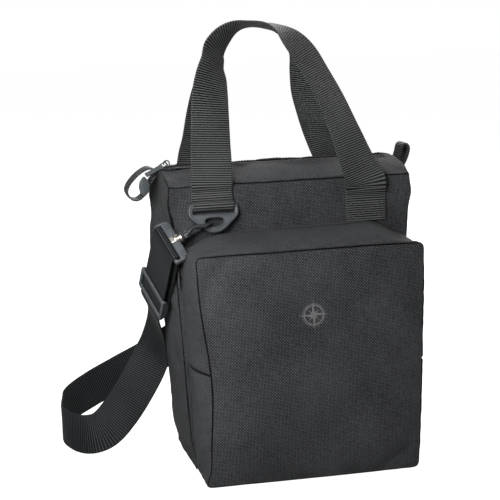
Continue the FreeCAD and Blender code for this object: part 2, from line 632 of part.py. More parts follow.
def pocket_slider(name, side, height):
    """A slider on the straight side run of the pocket's zip, with its pull."""
    chain_y = -size("Size.bag_depth / 2 + 0.3 + 3.45")
    at = Vector(side * (size(pocket_half(str(height))) - 1.05), chain_y, height)
    lean = Vector(side * math.sin(math.radians(POCKET_LEAN)), 0, math.cos(math.radians(POCKET_LEAN)))
    outward = Vector(side * lean.z, 0, -abs(lean.x))
    turn = Rotation(-lean, (-lean).cross(outward) * -1, outward, "XYZ")
    feature("pocket_slider_" + name, slider_solid(9.5, 7, 0.6), Placement(at, turn))
    eye = at + turn.multVec(Vector(BRIDGE_SHIFT, 0, BRIDGE_RISE))
    hang = Vector(side * 0.05, -0.2, -1)
    feature("pocket_pull_" + name, pull_tab(20, 5.4, 1.2), frame_of(eye, hang, outward))


LEFT_SLIDER_HEIGHT = 200
RIGHT_SLIDER_HEIGHT = 121


# ---------------------------------------------------------------- end tabs
TAB_Y = 13
TAB_WIDTH = 22
LEFT_TAB = [(-121.5, 289), (-129, 292), (-139, 287), (-148, 278), (-151, 270), (-147, 263),
            (-140, 262), (-133, 268), (-127, 279), (-122, 285)]
RIGHT_TAB = [(121.5, 283), (126, 286), (129, 294), (131, 301), (135, 303), (138, 299),
             (136.5, 291), (132, 282), (126, 278.5), (122, 278)]


def end_tab(label, outline_points):
    """A folded webbing loop at one end of the top zip, for holding the bag while it is zipped."""
    centres = [(x, TAB_Y, z) for x, z in outline_points]
    across = [(0, 1, 0)] * len(centres)
    feature(label, ribbon(centres, across, 3, TAB_WIDTH, 2.0), Placement())


main_walls()
wall_padding()
top_closure()
top_slider()
handles()
for side_sign, place in ((-1, "front"), (1, "rear")):
    ring(place + "_ring", side_sign)
    web_frame(place + "_hook_frame", side_sign)
    hook(side_sign)
shoulder_strap()
strap_glide()
pocket()
pocket_slider("left", -1, LEFT_SLIDER_HEIGHT)
pocket_slider("right", 1, RIGHT_SLIDER_HEIGHT)
end_tab("end_tab_left", LEFT_TAB)
end_tab("end_tab_right", RIGHT_TAB)

doc.recompute()
for thing in doc.Objects:
    if "Invalid" in thing.State or "Error" in thing.State:
        raise RuntimeError(f"{thing.Label} failed: {thing.State}")
os.makedirs("parts", exist_ok=True)
for thing in nodes:
    if thing.Shape.isNull() or not thing.Shape.isValid():
        raise RuntimeError(f"{thing.Label} has no valid shape")
    thing.Shape.exportStep(f"parts/{thing.Label}.step")
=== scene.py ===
import math

import bpy
import numpy as np
from mathutils import Matrix, Vector
from mathutils.bvhtree import BVHTree


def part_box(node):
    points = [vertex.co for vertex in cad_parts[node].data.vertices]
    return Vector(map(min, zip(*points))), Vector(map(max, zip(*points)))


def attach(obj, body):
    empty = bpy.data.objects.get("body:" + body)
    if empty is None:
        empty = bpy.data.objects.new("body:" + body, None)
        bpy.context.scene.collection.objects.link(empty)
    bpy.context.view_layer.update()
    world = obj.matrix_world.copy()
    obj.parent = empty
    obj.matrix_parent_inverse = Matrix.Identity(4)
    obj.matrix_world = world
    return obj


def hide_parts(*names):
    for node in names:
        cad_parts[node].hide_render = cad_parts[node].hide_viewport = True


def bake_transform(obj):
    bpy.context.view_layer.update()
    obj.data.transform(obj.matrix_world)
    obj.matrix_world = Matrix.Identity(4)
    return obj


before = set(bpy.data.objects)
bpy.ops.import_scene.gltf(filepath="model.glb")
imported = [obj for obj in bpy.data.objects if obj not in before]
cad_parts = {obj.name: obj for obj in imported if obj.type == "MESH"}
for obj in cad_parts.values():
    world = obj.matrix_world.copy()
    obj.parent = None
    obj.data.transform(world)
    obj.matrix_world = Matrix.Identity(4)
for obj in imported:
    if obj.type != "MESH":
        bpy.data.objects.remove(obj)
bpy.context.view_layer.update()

MM = 0.001
SIDES = (("front", -1), ("rear", 1))
rng = np.random.default_rng(11)
PIECES = {}


# ================================================================ materials
class Field:
    """A number that varies over a surface. Arithmetic on it adds math nodes to its material."""

    def __init__(self, tree, socket):
        self.tree, self.socket = tree, socket

    def op(self, kind, *others):
        node = self.tree.nodes.new("ShaderNodeMath")
        node.operation = kind
        for place, value in enumerate((self, *others)):
            if isinstance(value, Field):
                self.tree.links.new(value.socket, node.inputs[place])
            else:
                node.inputs[place].default_value = value
        return Field(self.tree, node.outputs[0])

    def __add__(self, other):
        return self.op("ADD", other)

    def __mul__(self, other):
        return self.op("MULTIPLY", other)

    def __sub__(self, other):
        return self.op("SUBTRACT", other)

    def sine(self):
        return self.op("SINE")

    def size(self):
        return self.op("ABSOLUTE")

    def power(self, exponent):
        return self.op("POWER", exponent)

    def above(self, level):
        """1 where the number is over the level and 0 elsewhere."""
        return self.op("GREATER_THAN", level)

    def clamped(self):
        node = self.tree.nodes.new("ShaderNodeClamp")
        self.tree.links.new(self.socket, node.inputs["Value"])
        return Field(self.tree, node.outputs[0])


class Finish:
    """A procedural material: a tone between a dark and a light colour, with relief and roughness."""

    def __init__(self, name, dark, light, metallic=0.0, sheen=0.0, specular=0.5):
        self.material = bpy.data.materials.new(name)
        self.material.use_nodes = True
        self.tree = self.material.node_tree
        self.shader = self.tree.nodes["Principled BSDF"]
        self.shader.inputs["Metallic"].default_value = metallic
        self.shader.inputs["Sheen Weight"].default_value = sheen
        self.shader.inputs["Sheen Roughness"].default_value = 0.45
        self.shader.inputs["Specular IOR Level"].default_value = specular
        self.dark, self.light = dark, light
        self.link = self.tree.links.new
        self.material.diffuse_color = (*light, 1)

    def node(self, kind, **settings):
        node = self.tree.nodes.new(kind)
        for name, value in settings.items():
            setattr(node, name, value)
        return node

    def across_along(self):
        """The two surface coordinates of a piece, in metres."""
        layer = self.node("ShaderNodeUVMap", uv_map="UVMap")
        parts = self.node("ShaderNodeSeparateXYZ")
        self.link(layer.outputs[0], parts.inputs[0])
        return Field(self.tree, parts.outputs[0]), Field(self.tree, parts.outputs[1])

    def noise(self, grain, detail=3.0, stretch=(1, 1, 1)):
        """Noise whose lumps are about grain metres long."""
        place = self.node("ShaderNodeTexCoord")
        scaled = self.node("ShaderNodeVectorMath", operation="MULTIPLY")
        scaled.inputs[1].default_value = [s / grain for s in stretch]
        texture = self.node("ShaderNodeTexNoise")
        texture.inputs["Scale"].default_value = 1.0
        texture.inputs["Detail"].default_value = detail
        self.link(place.outputs["Object"], scaled.inputs[0])
        self.link(scaled.outputs[0], texture.inputs["Vector"])
        return Field(self.tree, texture.outputs[0])

    def stored(self, name):
        """A number stored on the mesh's points."""
        node = self.node("ShaderNodeAttribute", attribute_name=name)
        return Field(self.tree, node.outputs["Fac"])

    def edges(self, gain):
        """Near 1 on sharp outer edges, where a finish wears."""
        node = self.node("ShaderNodeNewGeometry")
        return ((Field(self.tree, node.outputs["Pointiness"]) - 0.5) * gain).clamped()

    def wire(self, tone, height=None, depth=0.0002, rough=0.6):
        """Connects the tone between the two colours, the relief and the roughness to the shader."""
        mix = self.node("ShaderNodeMix", data_type="RGBA")
        ends = [socket for socket in mix.inputs if socket.type == "RGBA"]
        for end, colour in zip(ends, (self.dark, self.light)):
            end.default_value = (*colour, 1)
        self.link(tone.clamped().socket, mix.inputs[0])
        result = [socket for socket in mix.outputs if socket.type == "RGBA"][0]
        self.link(result, self.shader.inputs["Base Color"])
        if isinstance(rough, Field):
            self.link(rough.clamped().socket, self.shader.inputs["Roughness"])
        else:
            self.shader.inputs["Roughness"].default_value = rough
        if height is not None:
            bump = self.node("ShaderNodeBump")
            bump.inputs["Distance"].default_value = depth
            bump.inputs["Strength"].default_value = 1.0
            self.link(height.socket, bump.inputs["Height"])
            self.link(bump.outputs[0], self.shader.inputs["Normal"])
        return self


def woven(name, dark, light, yarn, sheen):
    """A plain weave of thick yarns, rubbed a little lighter in broad patches, with painted shade along its
    seams.
    """
    finish = Finish(name, dark, light, sheen=sheen, specular=0.16)
    across, along = finish.across_along()
    cross = (across * (math.pi / yarn)).sine() * (along * (math.pi / yarn)).sine()
    yarns = cross.size().power(1.3)
    warp = cross.above(0.0)
    slub = finish.noise(2.6 * MM, 2)
    patches = finish.noise(60 * MM, 4)
    # the yarn term paints highlight on the yarn crowns, brightest on the warp floats, and paints shade in the
    # gaps between yarns
    tone = yarns * (warp * 0.75 + 0.3) + (slub - 0.5) * 0.4 + (patches - 0.5) * 0.36 + 0.08
    # painted shade: the sunk seams are darkened in the colour along the stored seam marks
    tone = tone - finish.stored("seam") * 2.2
    rough = patches * 0.15 + 0.66
    return finish.wire(tone, yarns + slub * 0.5, 0.0004, rough)


def ribbed(name, dark, light, pitch):
    """Webbing: cross ribs with painted shade in the grooves between, each rib a row of slanted yarn floats.
    """
    finish = Finish(name, dark, light, sheen=0.03, specular=0.2)
    across, along = finish.across_along()
    rib = (along * (2 * math.pi / pitch) - math.pi / 2).sine() * 0.5 + 0.5
    float_row = (across * (2 * math.pi / (1.3 * MM)) + along * (2 * math.pi / (2 * pitch))).sine() * 0.5 + 0.5
    slub = finish.noise(1.6 * MM, 2)
    patches = finish.noise(45 * MM, 3)
    # painted shade: the tone falls to dark in the grooves between the ribs
    tone = rib.power(2.2) * (float_row * 0.5 + 0.55) + (slub - 0.5) * 0.3 + (patches - 0.5) * 0.35
    return finish.wire(tone, rib * 0.8 + float_row * 0.2, 0.0003, 0.66)


def moulded(name, dark, light, rough, wear, metallic=0.0):
    """Moulded plastic or blackened metal: fine grain, soft blotches and edges rubbed bright."""
    finish = Finish(name, dark, light, metallic=metallic)
    blotch = finish.noise(9 * MM, 4)
    fine = finish.noise(0.5 * MM, 2)
    tone = blotch * 0.35 + finish.edges(wear)
    return finish.wire(tone, fine, 0.00005, blotch * 0.25 + rough)


def plain_cloth(name, dark, light, yarn):
    """Cloth too fine to show its weave: a small grain and broad faint patches."""
    finish = Finish(name, dark, light, sheen=0.1, specular=0.3)
    place = finish.noise(yarn, 2)
    patches = finish.noise(50 * MM, 3)
    return finish.wire(place * 0.6 + patches * 0.5 - 0.1, place, 0.0002, 0.75)


RIB_PITCH = 2.2 * MM
BODY_FABRIC = woven("body_fabric", (0.001, 0.0012, 0.0015), (0.145, 0.15, 0.158), 1.35 * MM, 0.03)
WEBBING = ribbed("webbing", (0.001, 0.0012, 0.0014), (0.15, 0.155, 0.157), RIB_PITCH)
# the strap's webbing is the handles' webbing painted darker, for the shade the strap hangs in
STRAP_WEB_SHADED = ribbed("strap_webbing_painted_shade", (0.001, 0.0012, 0.0014), (0.05, 0.056, 0.06), RIB_PITCH)
ZIP_TAPE = plain_cloth("zip_tape", (0.008, 0.009, 0.01), (0.035, 0.037, 0.04), 0.6 * MM)
ZIP_COIL = moulded("zip_coil", (0.012, 0.012, 0.014), (0.06, 0.06, 0.065), 0.35, 4)
LINING = plain_cloth("lining_fabric", (0.05, 0.05, 0.055), (0.1, 0.1, 0.105), 0.5 * MM)
FOAM = plain_cloth("foam_pad", (0.18, 0.18, 0.19), (0.3, 0.3, 0.31), 1.5 * MM)
BOARD = moulded("board_plastic", (0.02, 0.02, 0.02), (0.07, 0.07, 0.07), 0.5, 3)
NYLON = moulded("moulded_nylon", (0.03, 0.036, 0.04), (0.14, 0.155, 0.165), 0.34, 6)
DARK_METAL = moulded("black_metal", (0.012, 0.013, 0.015), (0.15, 0.155, 0.16), 0.32, 6, metallic=0.5)
BRIGHT_METAL = moulded("rubbed_metal", (0.2, 0.19, 0.18), (0.75, 0.7, 0.62), 0.22, 9, metallic=1.0)
THREAD = plain_cloth("thread", (0.02, 0.02, 0.022), (0.09, 0.09, 0.095), 0.4 * MM)
PRINT = plain_cloth("print_ink", (0.12, 0.12, 0.124), (0.2, 0.2, 0.205), 0.9 * MM)


# ================================================================ mesh pieces
def link_mesh(name, points, faces, uvs=None, stored=None):
    """A mesh object from arrays; uvs and stored numbers are one per point."""
    mesh = bpy.data.meshes.new(name)
    mesh.from_pydata(np.asarray(points, float).tolist(), [], [list(f) for f in faces])
    if uvs is not None:
        corner = np.zeros(len(mesh.loops), np.int32)
        mesh.loops.foreach_get("vertex_index", corner)
        layer = mesh.uv_layers.new(name="UVMap")
        layer.data.foreach_set("uv", np.asarray(uvs, np.float32)[corner].ravel())
    for label, values in (stored or {}).items():
        field = mesh.attributes.new(label, "FLOAT", "POINT")
        field.data.foreach_set("value", np.asarray(values, np.float32).ravel())
    mesh.update()
    thing = bpy.data.objects.new(name, mesh)
    bpy.context.scene.collection.objects.link(thing)
    return thing


def settle(thing, *modifiers):
    """Applies modifiers, each a (kind, settings) pair, to a mesh object."""
    for kind, settings in modifiers:
        modifier = thing.modifiers.new(kind, kind)
        for name, value in settings.items():
            setattr(modifier, name, value)
    evaluated = thing.evaluated_get(bpy.context.evaluated_depsgraph_get())
    mesh = bpy.data.meshes.new_from_object(evaluated)
    thing.modifiers.clear()
    thing.data = mesh
    return thing


def dress(thing, finish, body, slot, *nodes, crease=40):
    """Gives a finished piece its material and its body, and hides the CAD nodes it stands for.
    A piece with no body is left unattached."""
    PIECES[thing.name.split(".")[0]] = thing
    thing.data.materials.clear()
    thing.data.materials.append(finish.material)
    thing.data.shade_smooth()
    thing.data.set_sharp_from_angle(angle=math.radians(crease))
    if body:
        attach(thing, body)
    if nodes:
        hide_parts(*nodes)
    return thing


def unit(vector):
    return vector / np.linalg.norm(vector)


def units(vectors):
    """Each row of an array scaled to length one."""
    return vectors / np.linalg.norm(vectors, axis=1)[:, None]


def sheet(x, y, z):
    """A grid of points from three coordinates, each a number or an array over the grid."""
    return np.stack(np.broadcast_arrays(x, y, z), -1)


def smooth_curve(points):
    """Dense points on a Catmull-Rom curve through points."""
    points = np.asarray(points, float)
    spans = len(points) - 1
    padded = np.vstack([points[0], points, points[-1]])
    where = np.linspace(0, spans, spans * 60 + 1)
    i = np.minimum(where.astype(int), spans - 1)
    u = (where - i)[:, None]
    a, b, c, d = padded[i], padded[i + 1], padded[i + 2], padded[i + 3]
    square, cube = 2 * a - 5 * b + 4 * c - d, 3 * b - a - 3 * c + d
    return 0.5 * (2 * b + (c - a) * u + square * u ** 2 + cube * u ** 3)


def even_steps(curves, step):
    """The first curve in even steps along its length, the other curves at the same places."""
    lengths = np.linalg.norm(np.diff(curves[0], axis=0), axis=1)
    arc = np.concatenate([[0], np.cumsum(lengths)])
    count = max(2, int(round(arc[-1] / step)))
    places = np.linspace(0, arc[-1], count + 1)
    return places, [np.stack([np.interp(places, arc, c[:, k]) for k in range(3)], 1) for c in curves]


def tube_faces(rings, sides, closed=False):
    """Quads of a tube of rings, with end caps unless the tube closes on itself."""
    ring = np.arange(rings if closed else rings - 1)[:, None]
    side = np.arange(sides)[None, :]
    here, after = ring * sides, (ring + 1) % rings * sides
    turn = (side + 1) % sides
    quads = np.stack([here + side, here + turn, after + turn, after + side], -1).reshape(-1, 4).tolist()
    if not closed:
        quads.append(list(range(sides))[::-1])
        quads.append([(rings - 1) * sides + k for k in range(sides)])
    return quads


WEB_WIDTH = 40 * MM
WEB_GAUGE = 1.8 * MM
EDGE = np.array([-1, -0.985, -0.93, 0, 0.93, 0.985, 1])
PLUMP = np.array([0.3, 0.8, 1, 1, 1, 0.8, 0.3])
RIBBING = np.array([0, 0.4, 1, 1, 1, 0.4, 0])


def webbing(name, centres, widths, finish, body, width=WEB_WIDTH, gauge=WEB_GAUGE, wobble=0.25):
    """A band of ribbed webbing along a curve through centres (mm), its width along widths.
    It stands for the CAD node of the same name."""
    middle, turn = smooth_curve(np.asarray(centres) * MM), smooth_curve(widths)
    along, (middle, turn) = even_steps([middle, turn], RIB_PITCH / 5)
    ahead = units(np.gradient(middle, axis=0))
    across = units(turn - ahead * (turn * ahead).sum(1)[:, None])
    out = np.cross(ahead, across)
    phase = rng.uniform(0, 6.28, 2)
    drift = np.sin(along / 0.021 + phase[0]) * 0.6 + np.sin(along / 0.0083 + phase[1]) * 0.4
    middle = middle + out * (drift * wobble * MM)[:, None]
    rib = 0.5 - 0.5 * np.cos(along * 2 * math.pi / RIB_PITCH)
    half = gauge / 2 * PLUMP[None] * (1 - 0.34 * RIBBING[None] * (1 - rib[:, None]))
    cup = (EDGE ** 2 - 0.4)[None] * 0.25 * MM * np.sin(along / 0.034 + phase[1])[:, None]
    flat = middle[:, None] + across[:, None] * (EDGE * width / 2)[None, :, None]
    top = flat + out[:, None] * (half + cup)[..., None]
    under = (flat + out[:, None] * (cup - half)[..., None])[:, ::-1]
    points = np.concatenate([top, under], 1)
    across_uv = np.concatenate([EDGE, EDGE[::-1]]) * width / 2
    uvs = np.stack(np.broadcast_arrays(across_uv[None], along[:, None]), -1)
    faces = tube_faces(len(along), points.shape[1])
    thing = link_mesh(name, points.reshape(-1, 3), faces, uvs.reshape(-1, 2))
    return dress(thing, finish, body, "webbing", name, crease=70)


def tube(path, radius, sides=10, closed=False, flat=1.0, up=(0, 0, 1)):
    """Points and faces of a round or oval bar along a path; radius may change along it."""
    path = np.asarray(path, float)
    ahead = np.roll(path, -1, 0) - np.roll(path, 1, 0)
    if not closed:
        ahead[0], ahead[-1] = path[1] - path[0], path[-1] - path[-2]
    ahead = units(ahead)
    side = units(np.cross(ahead, up))
    over = np.cross(side, ahead)
    angle = np.arange(sides) * 2 * math.pi / sides
    radius = np.broadcast_to(np.asarray(radius, float), (len(path),))[:, None, None]
    ring = side[:, None] * np.cos(angle)[None, :, None] + over[:, None] * flat * np.sin(angle)[None, :, None]
    return (path[:, None] + ring * radius).reshape(-1, 3), tube_faces(len(path), sides, closed)


def lathe(profile, sides=28):
    """Points and faces of a solid turned about Z from (radius, height) pairs."""
    angle = np.arange(sides) * 2 * math.pi / sides
    circle = np.stack([np.cos(angle), np.sin(angle)], 1)
    rings = [np.column_stack([circle * radius, np.full(sides, height)]) for radius, height in profile]
    return np.concatenate(rings), tube_faces(len(profile), sides)


def rounded(corners, radii, steps=5):
    """A closed outline whose corners are arcs."""
    corners = np.asarray(corners, float)
    radii = np.broadcast_to(np.asarray(radii, float), (len(corners),))
    outline = []
    for k, corner in enumerate(corners):
        before, after = corners[k - 1] - corner, corners[(k + 1) % len(corners)] - corner
        reach = min(radii[k], 0.49 * np.linalg.norm(before), 0.49 * np.linalg.norm(after))
        start, end = corner + unit(before) * reach, corner + unit(after) * reach
        for t in np.linspace(0, 1, steps):
            outline.append((1 - t) ** 2 * start + 2 * t * (1 - t) * corner + t ** 2 * end)
    return np.array(outline)


def mirror(corners):
    """The right half of an outline, bottom to top, and its mirror image."""
    return [tuple(c) for c in corners] + [(-x, y) for x, y in reversed(corners)]


def plate(loops, thickness, bevel):
    """Points and faces of a plate in the XY plane with rounded edges; loops after the first are holes."""
    curve = bpy.data.curves.new("plate", "CURVE")
    curve.dimensions = "2D"
    curve.fill_mode = "BOTH"
    curve.extrude = thickness / 2 - bevel
    curve.bevel_depth = bevel
    curve.bevel_resolution = 2
    curve.offset = -bevel
    for loop in loops:
        spline = curve.splines.new("POLY")
        spline.points.add(len(loop) - 1)
        for point, (x, y) in zip(spline.points, loop):
            point.co = (x, y, 0, 1)
        spline.use_cyclic_u = True
    thing = bpy.data.objects.new("plate", curve)
    bpy.context.scene.collection.objects.link(thing)
    mesh = bpy.data.meshes.new_from_object(thing.evaluated_get(bpy.context.evaluated_depsgraph_get()))
    points = np.array([v.co[:] for v in mesh.vertices])
    faces = [list(p.vertices) for p in mesh.polygons]
    bpy.data.objects.remove(thing)
    bpy.data.curves.remove(curve)
    return points, faces


def block(low, high, bevel):
    """Points and faces of a block with rounded edges."""
    low, high = np.asarray(low, float), np.asarray(high, float)
    size, middle = high - low, (high + low) / 2
    corners = size[:2] / 2 * [(-1, -1), (1, -1), (1, 1), (-1, 1)]
    points, faces = plate([rounded(corners, bevel)], size[2], min(bevel, 0.49 * size[2]))
    return points + middle, faces


def turned(part, axes, origin=(0, 0, 0)):
    """A part moved to a local frame: axes are the directions of its own X, Y and Z."""
    points, faces = part
    return points @ np.asarray(axes, float) + np.asarray(origin, float), faces


def merge(parts):
    """Several (points, faces) parts as one."""
    points, faces, start = [], [], 0
    for part_points, part_faces in parts:
        points.append(part_points)
        faces += [[start + i for i in face] for face in part_faces]
        start += len(part_points)
    return np.concatenate(points), faces


def join(name, parts, welded=True):
    """One mesh object from several (points, faces) parts; welding joins the points that meet."""
    thing = link_mesh(name, *merge(parts))
    if welded:
        settle(thing, ("WELD", {"merge_threshold": 1e-6}))
    return thing


# ================================================================ sewn shells
CELL = 5 * MM
FOLD = (1.2 * MM, 3.2 * MM)
CLOTH = {"quality": 5, "mass": 0.25, "tension_stiffness": 12, "compression_stiffness": 12,
         "shear_stiffness": 6, "bending_stiffness": 1.5, "shrink_min": -0.012, "use_pressure": True,
         "uniform_pressure_force": 4, "vertex_group_mass": "held"}
CLOTH_FRAMES = 16


def stations(length):
    """Shares of a length, close together at both seams and even between."""
    count = max(2, round((length - 2 * FOLD[1]) / CELL))
    inner = np.linspace(FOLD[1], length - FOLD[1], count + 1)
    return np.concatenate([[0, FOLD[0]], inner, [length - FOLD[0], length]]) / length


def facings(corner):
    """Area-weighted normals of quads from their corner points."""
    return np.cross(corner[:, 2] - corner[:, 0], corner[:, 3] - corner[:, 1])


class Shell:
    """Panels sewn edge to edge: each is a grid of points, and shared edges share their points.
    The seams sink by the groove. They and the points next to them are held when the shell is inflated."""

    def __init__(self, grids, centre, groove):
        self.grids, self.centre, self.index = grids, np.asarray(centre), {}
        keys, points, faces = {}, [], []
        for name, grid in grids.items():
            index = np.zeros(grid.shape[:2], int)
            for place in np.ndindex(grid.shape[:2]):
                key = tuple(np.round(grid[place] * 1e5).astype(int))
                if key not in keys:
                    keys[key] = len(points)
                    points.append(grid[place])
                index[place] = keys[key]
            self.index[name] = index
            faces += self.quads(index, np.array(points)).tolist()
        self.points, self.faces = np.array(points), np.array(faces)
        self.seam = np.zeros(len(points))
        for index in self.index.values():
            for edge in (index[0], index[-1], index[:, 0], index[:, -1]):
                self.seam[edge] = 1
        self.held = self.seam > 0
        for index in self.index.values():
            for ring in (index[1], index[-2], index[:, 1], index[:, -2]):
                self.held[ring] = True
        self.points -= self.normals() * (self.seam * groove)[:, None]

    def on(self, name):
        """The places of a panel's points."""
        return self.index[name].ravel()

    def quads(self, index, points):
        quads = np.stack([index[:-1, :-1], index[1:, :-1], index[1:, 1:], index[:-1, 1:]], -1).reshape(-1, 4)
        corner = points[quads]
        outward = (facings(corner) * (corner.mean(1) - self.centre)).sum()
        return quads if outward > 0 else quads[:, ::-1]

    def normals(self):
        facing = facings(self.points[self.faces])
        total = np.zeros_like(self.points)
        for k in range(4):
            np.add.at(total, self.faces[:, k], facing)
        return total / np.maximum(np.linalg.norm(total, axis=1), 1e-12)[:, None]

    def inflate(self, cap):
        """Cloth simulation under air pressure with the seams held; cap limits how far a point moves."""
        thing = link_mesh("cloth", self.points, self.faces.tolist())
        group = thing.vertex_groups.new(name="held")
        group.add(np.flatnonzero(self.held).tolist(), 1.0, "REPLACE")
        cloth = thing.modifiers.new("Cloth", "CLOTH")
        for name, value in CLOTH.items():
            setattr(cloth.settings, name, value)
        cloth.settings.effector_weights.gravity = 0
        cloth.point_cache.frame_end = CLOTH_FRAMES
        for step in range(1, CLOTH_FRAMES + 1):
            bpy.context.scene.frame_set(step)
        evaluated = thing.evaluated_get(bpy.context.evaluated_depsgraph_get())
        moved = np.zeros(len(self.points) * 3)
        evaluated.data.vertices.foreach_get("co", moved)
        bpy.data.objects.remove(thing)
        bpy.context.scene.frame_set(1)
        shift = moved.reshape(-1, 3) - self.points
        length = np.linalg.norm(shift, axis=1)
        limit = np.broadcast_to(cap, length.shape)
        self.points += shift * (limit * np.tanh(length / limit) / np.maximum(length, 1e-9))[:, None]

    def push(self, amount):
        """Moves points out along their normals; the seams stay."""
        self.points += self.normals() * (amount * (1 - self.seam))[:, None]

    def panel(self, name, uvs, rows=slice(None)):
        """The named panel as its own thin closed piece."""
        index = self.index[name][rows]
        used, place = np.unique(index, return_inverse=True)
        place = place.reshape(index.shape)
        quads = self.quads(index, self.points)
        order = np.zeros(len(self.points), int)
        order[used] = np.arange(len(used))
        flat = np.zeros((len(used), 2))
        flat[place] = uvs[rows]
        # the seam marks stored here are where the fabric's colour paints shade along the seams
        thing = link_mesh(name, self.points[used], order[quads].tolist(), flat, {"seam": self.seam[used]})
        settle(thing, ("SUBSURF", {"levels": 1}), ("SOLIDIFY", {"thickness": 0.9 * MM, "offset": -1}))
        return thing


def ripples(points, grain, seed):
    """Smooth noise from a few sine waves, about -1 to 1."""
    waves = np.random.default_rng(seed)
    total = np.zeros(len(points))
    for _ in range(7):
        direction = unit(waves.normal(size=3)) / (grain * waves.uniform(0.6, 1.5)) * 2 * math.pi
        total += np.sin(points @ direction + waves.uniform(0, 6.28))
    return total / 4


def bump(distance, reach):
    """1 at a distance of 0, falling away over the reach."""
    return np.exp(-(distance / reach) ** 2)


def hollow(points, centre, reach):
    """Near 1 around a place, given in millimetres, and 0 away from it."""
    return np.prod(bump(points - np.array(centre) * MM, np.array(reach) * MM), axis=1)


# ---------------------------------------------------------------- main compartment
front_low, front_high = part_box("main_front_panel")
TOP_HALF = front_high.x
BASE_HALF = TOP_HALF - 14 * MM
HALF_DEPTH = -front_low.y
SEAM_Z = front_high.z
RIDGE_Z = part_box("top_strip_front")[1].z
ZIP_HALF = 6.5 * MM
ZIP_REACH = 108 * MM


def half_width(z):
    """Half the main compartment's width: it leans out, with a soft shoulder near the top."""
    lean = BASE_HALF + (TOP_HALF - BASE_HALF) * z / SEAM_Z
    sag = 3.0 * MM * bump(z - 8 * MM, 14 * MM)
    return lean + 2.8 * MM * bump(z - 262 * MM, 12 * MM) - sag


def flank(u, y, z):
    """The x of a point on the main compartment, u from -1 to 1 across; its left side sags out at the back."""
    back = 0.5 + 0.5 * np.clip(y / HALF_DEPTH, -1, 1)
    return u * half_width(z) - 6.5 * MM * bump(z - 205 * MM, 48 * MM) * back * np.clip(-u, 0, 1) ** 2


def gable(y):
    """Height of the end seam between a side panel and the top strips."""
    return SEAM_Z + 12 * MM * (1 - (np.abs(y) / HALF_DEPTH) ** 2)


def roof(x, y):
    """Height of the top strips: a low tent whose ends round down to the side panels."""
    share = (HALF_DEPTH - np.abs(y)) / (HALF_DEPTH - ZIP_HALF)
    middle = SEAM_Z + (RIDGE_Z + 0.4 * MM - SEAM_Z) * np.clip(share, 0, 1)
    end = half_width(gable(y))
    dip = 4 * MM * bump(x + 112 * MM, 34 * MM) * np.clip(share, 0, 1) * (y < 0)
    t = np.clip((np.abs(x) - 0.9 * end) / (0.1 * end), 0, 1)
    return middle - dip * (1 - t) + (gable(y) - middle) * t ** 2


# the two axes that each panel's weave follows
PANEL_PLANES = {(0, 2): ("main_front_panel", "main_back_panel"),
                (1, 2): ("main_side_left", "main_side_right"),
                (0, 1): ("top_strip_front", "top_strip_rear", "main_base_panel")}
SHADOW_HALF, SHADOW_TOP = 117 * MM, 221 * MM


def main_grids():
    """The main compartment's panels as grids of points, with a gap for the zip in its roof."""
    u = (stations(2 * TOP_HALF) * 2 - 1)[:, None]
    v = stations(SEAM_Z)[None]
    strip = -HALF_DEPTH + stations(HALF_DEPTH - ZIP_HALF) * (HALF_DEPTH - ZIP_HALF)
    gap = np.linspace(-ZIP_HALF, ZIP_HALF, 5)
    around = np.concatenate([strip, gap[1:-1], -strip[::-1]])

    def wall(y):
        return sheet(flank(u, y, v * SEAM_Z), y, v * SEAM_Z)

    def side(sign):
        y = around[:, None]
        return sheet(flank(sign, y, v * gable(y)), y, v * gable(y))

    def cover(y):
        x = flank(u, y, gable(y))
        return sheet(x, y, roof(x, y))

    return {"main_front_panel": wall(-HALF_DEPTH), "main_back_panel": wall(HALF_DEPTH),
            "main_side_left": side(-1), "main_side_right": side(1),
            "top_strip_front": cover(strip[None]), "top_strip_rear": cover(-strip[None, ::-1]),
            "zip_gap": cover(gap[None]),
            "main_base_panel": sheet(flank(u, around[None], 0.0), around[None], 0.0)}


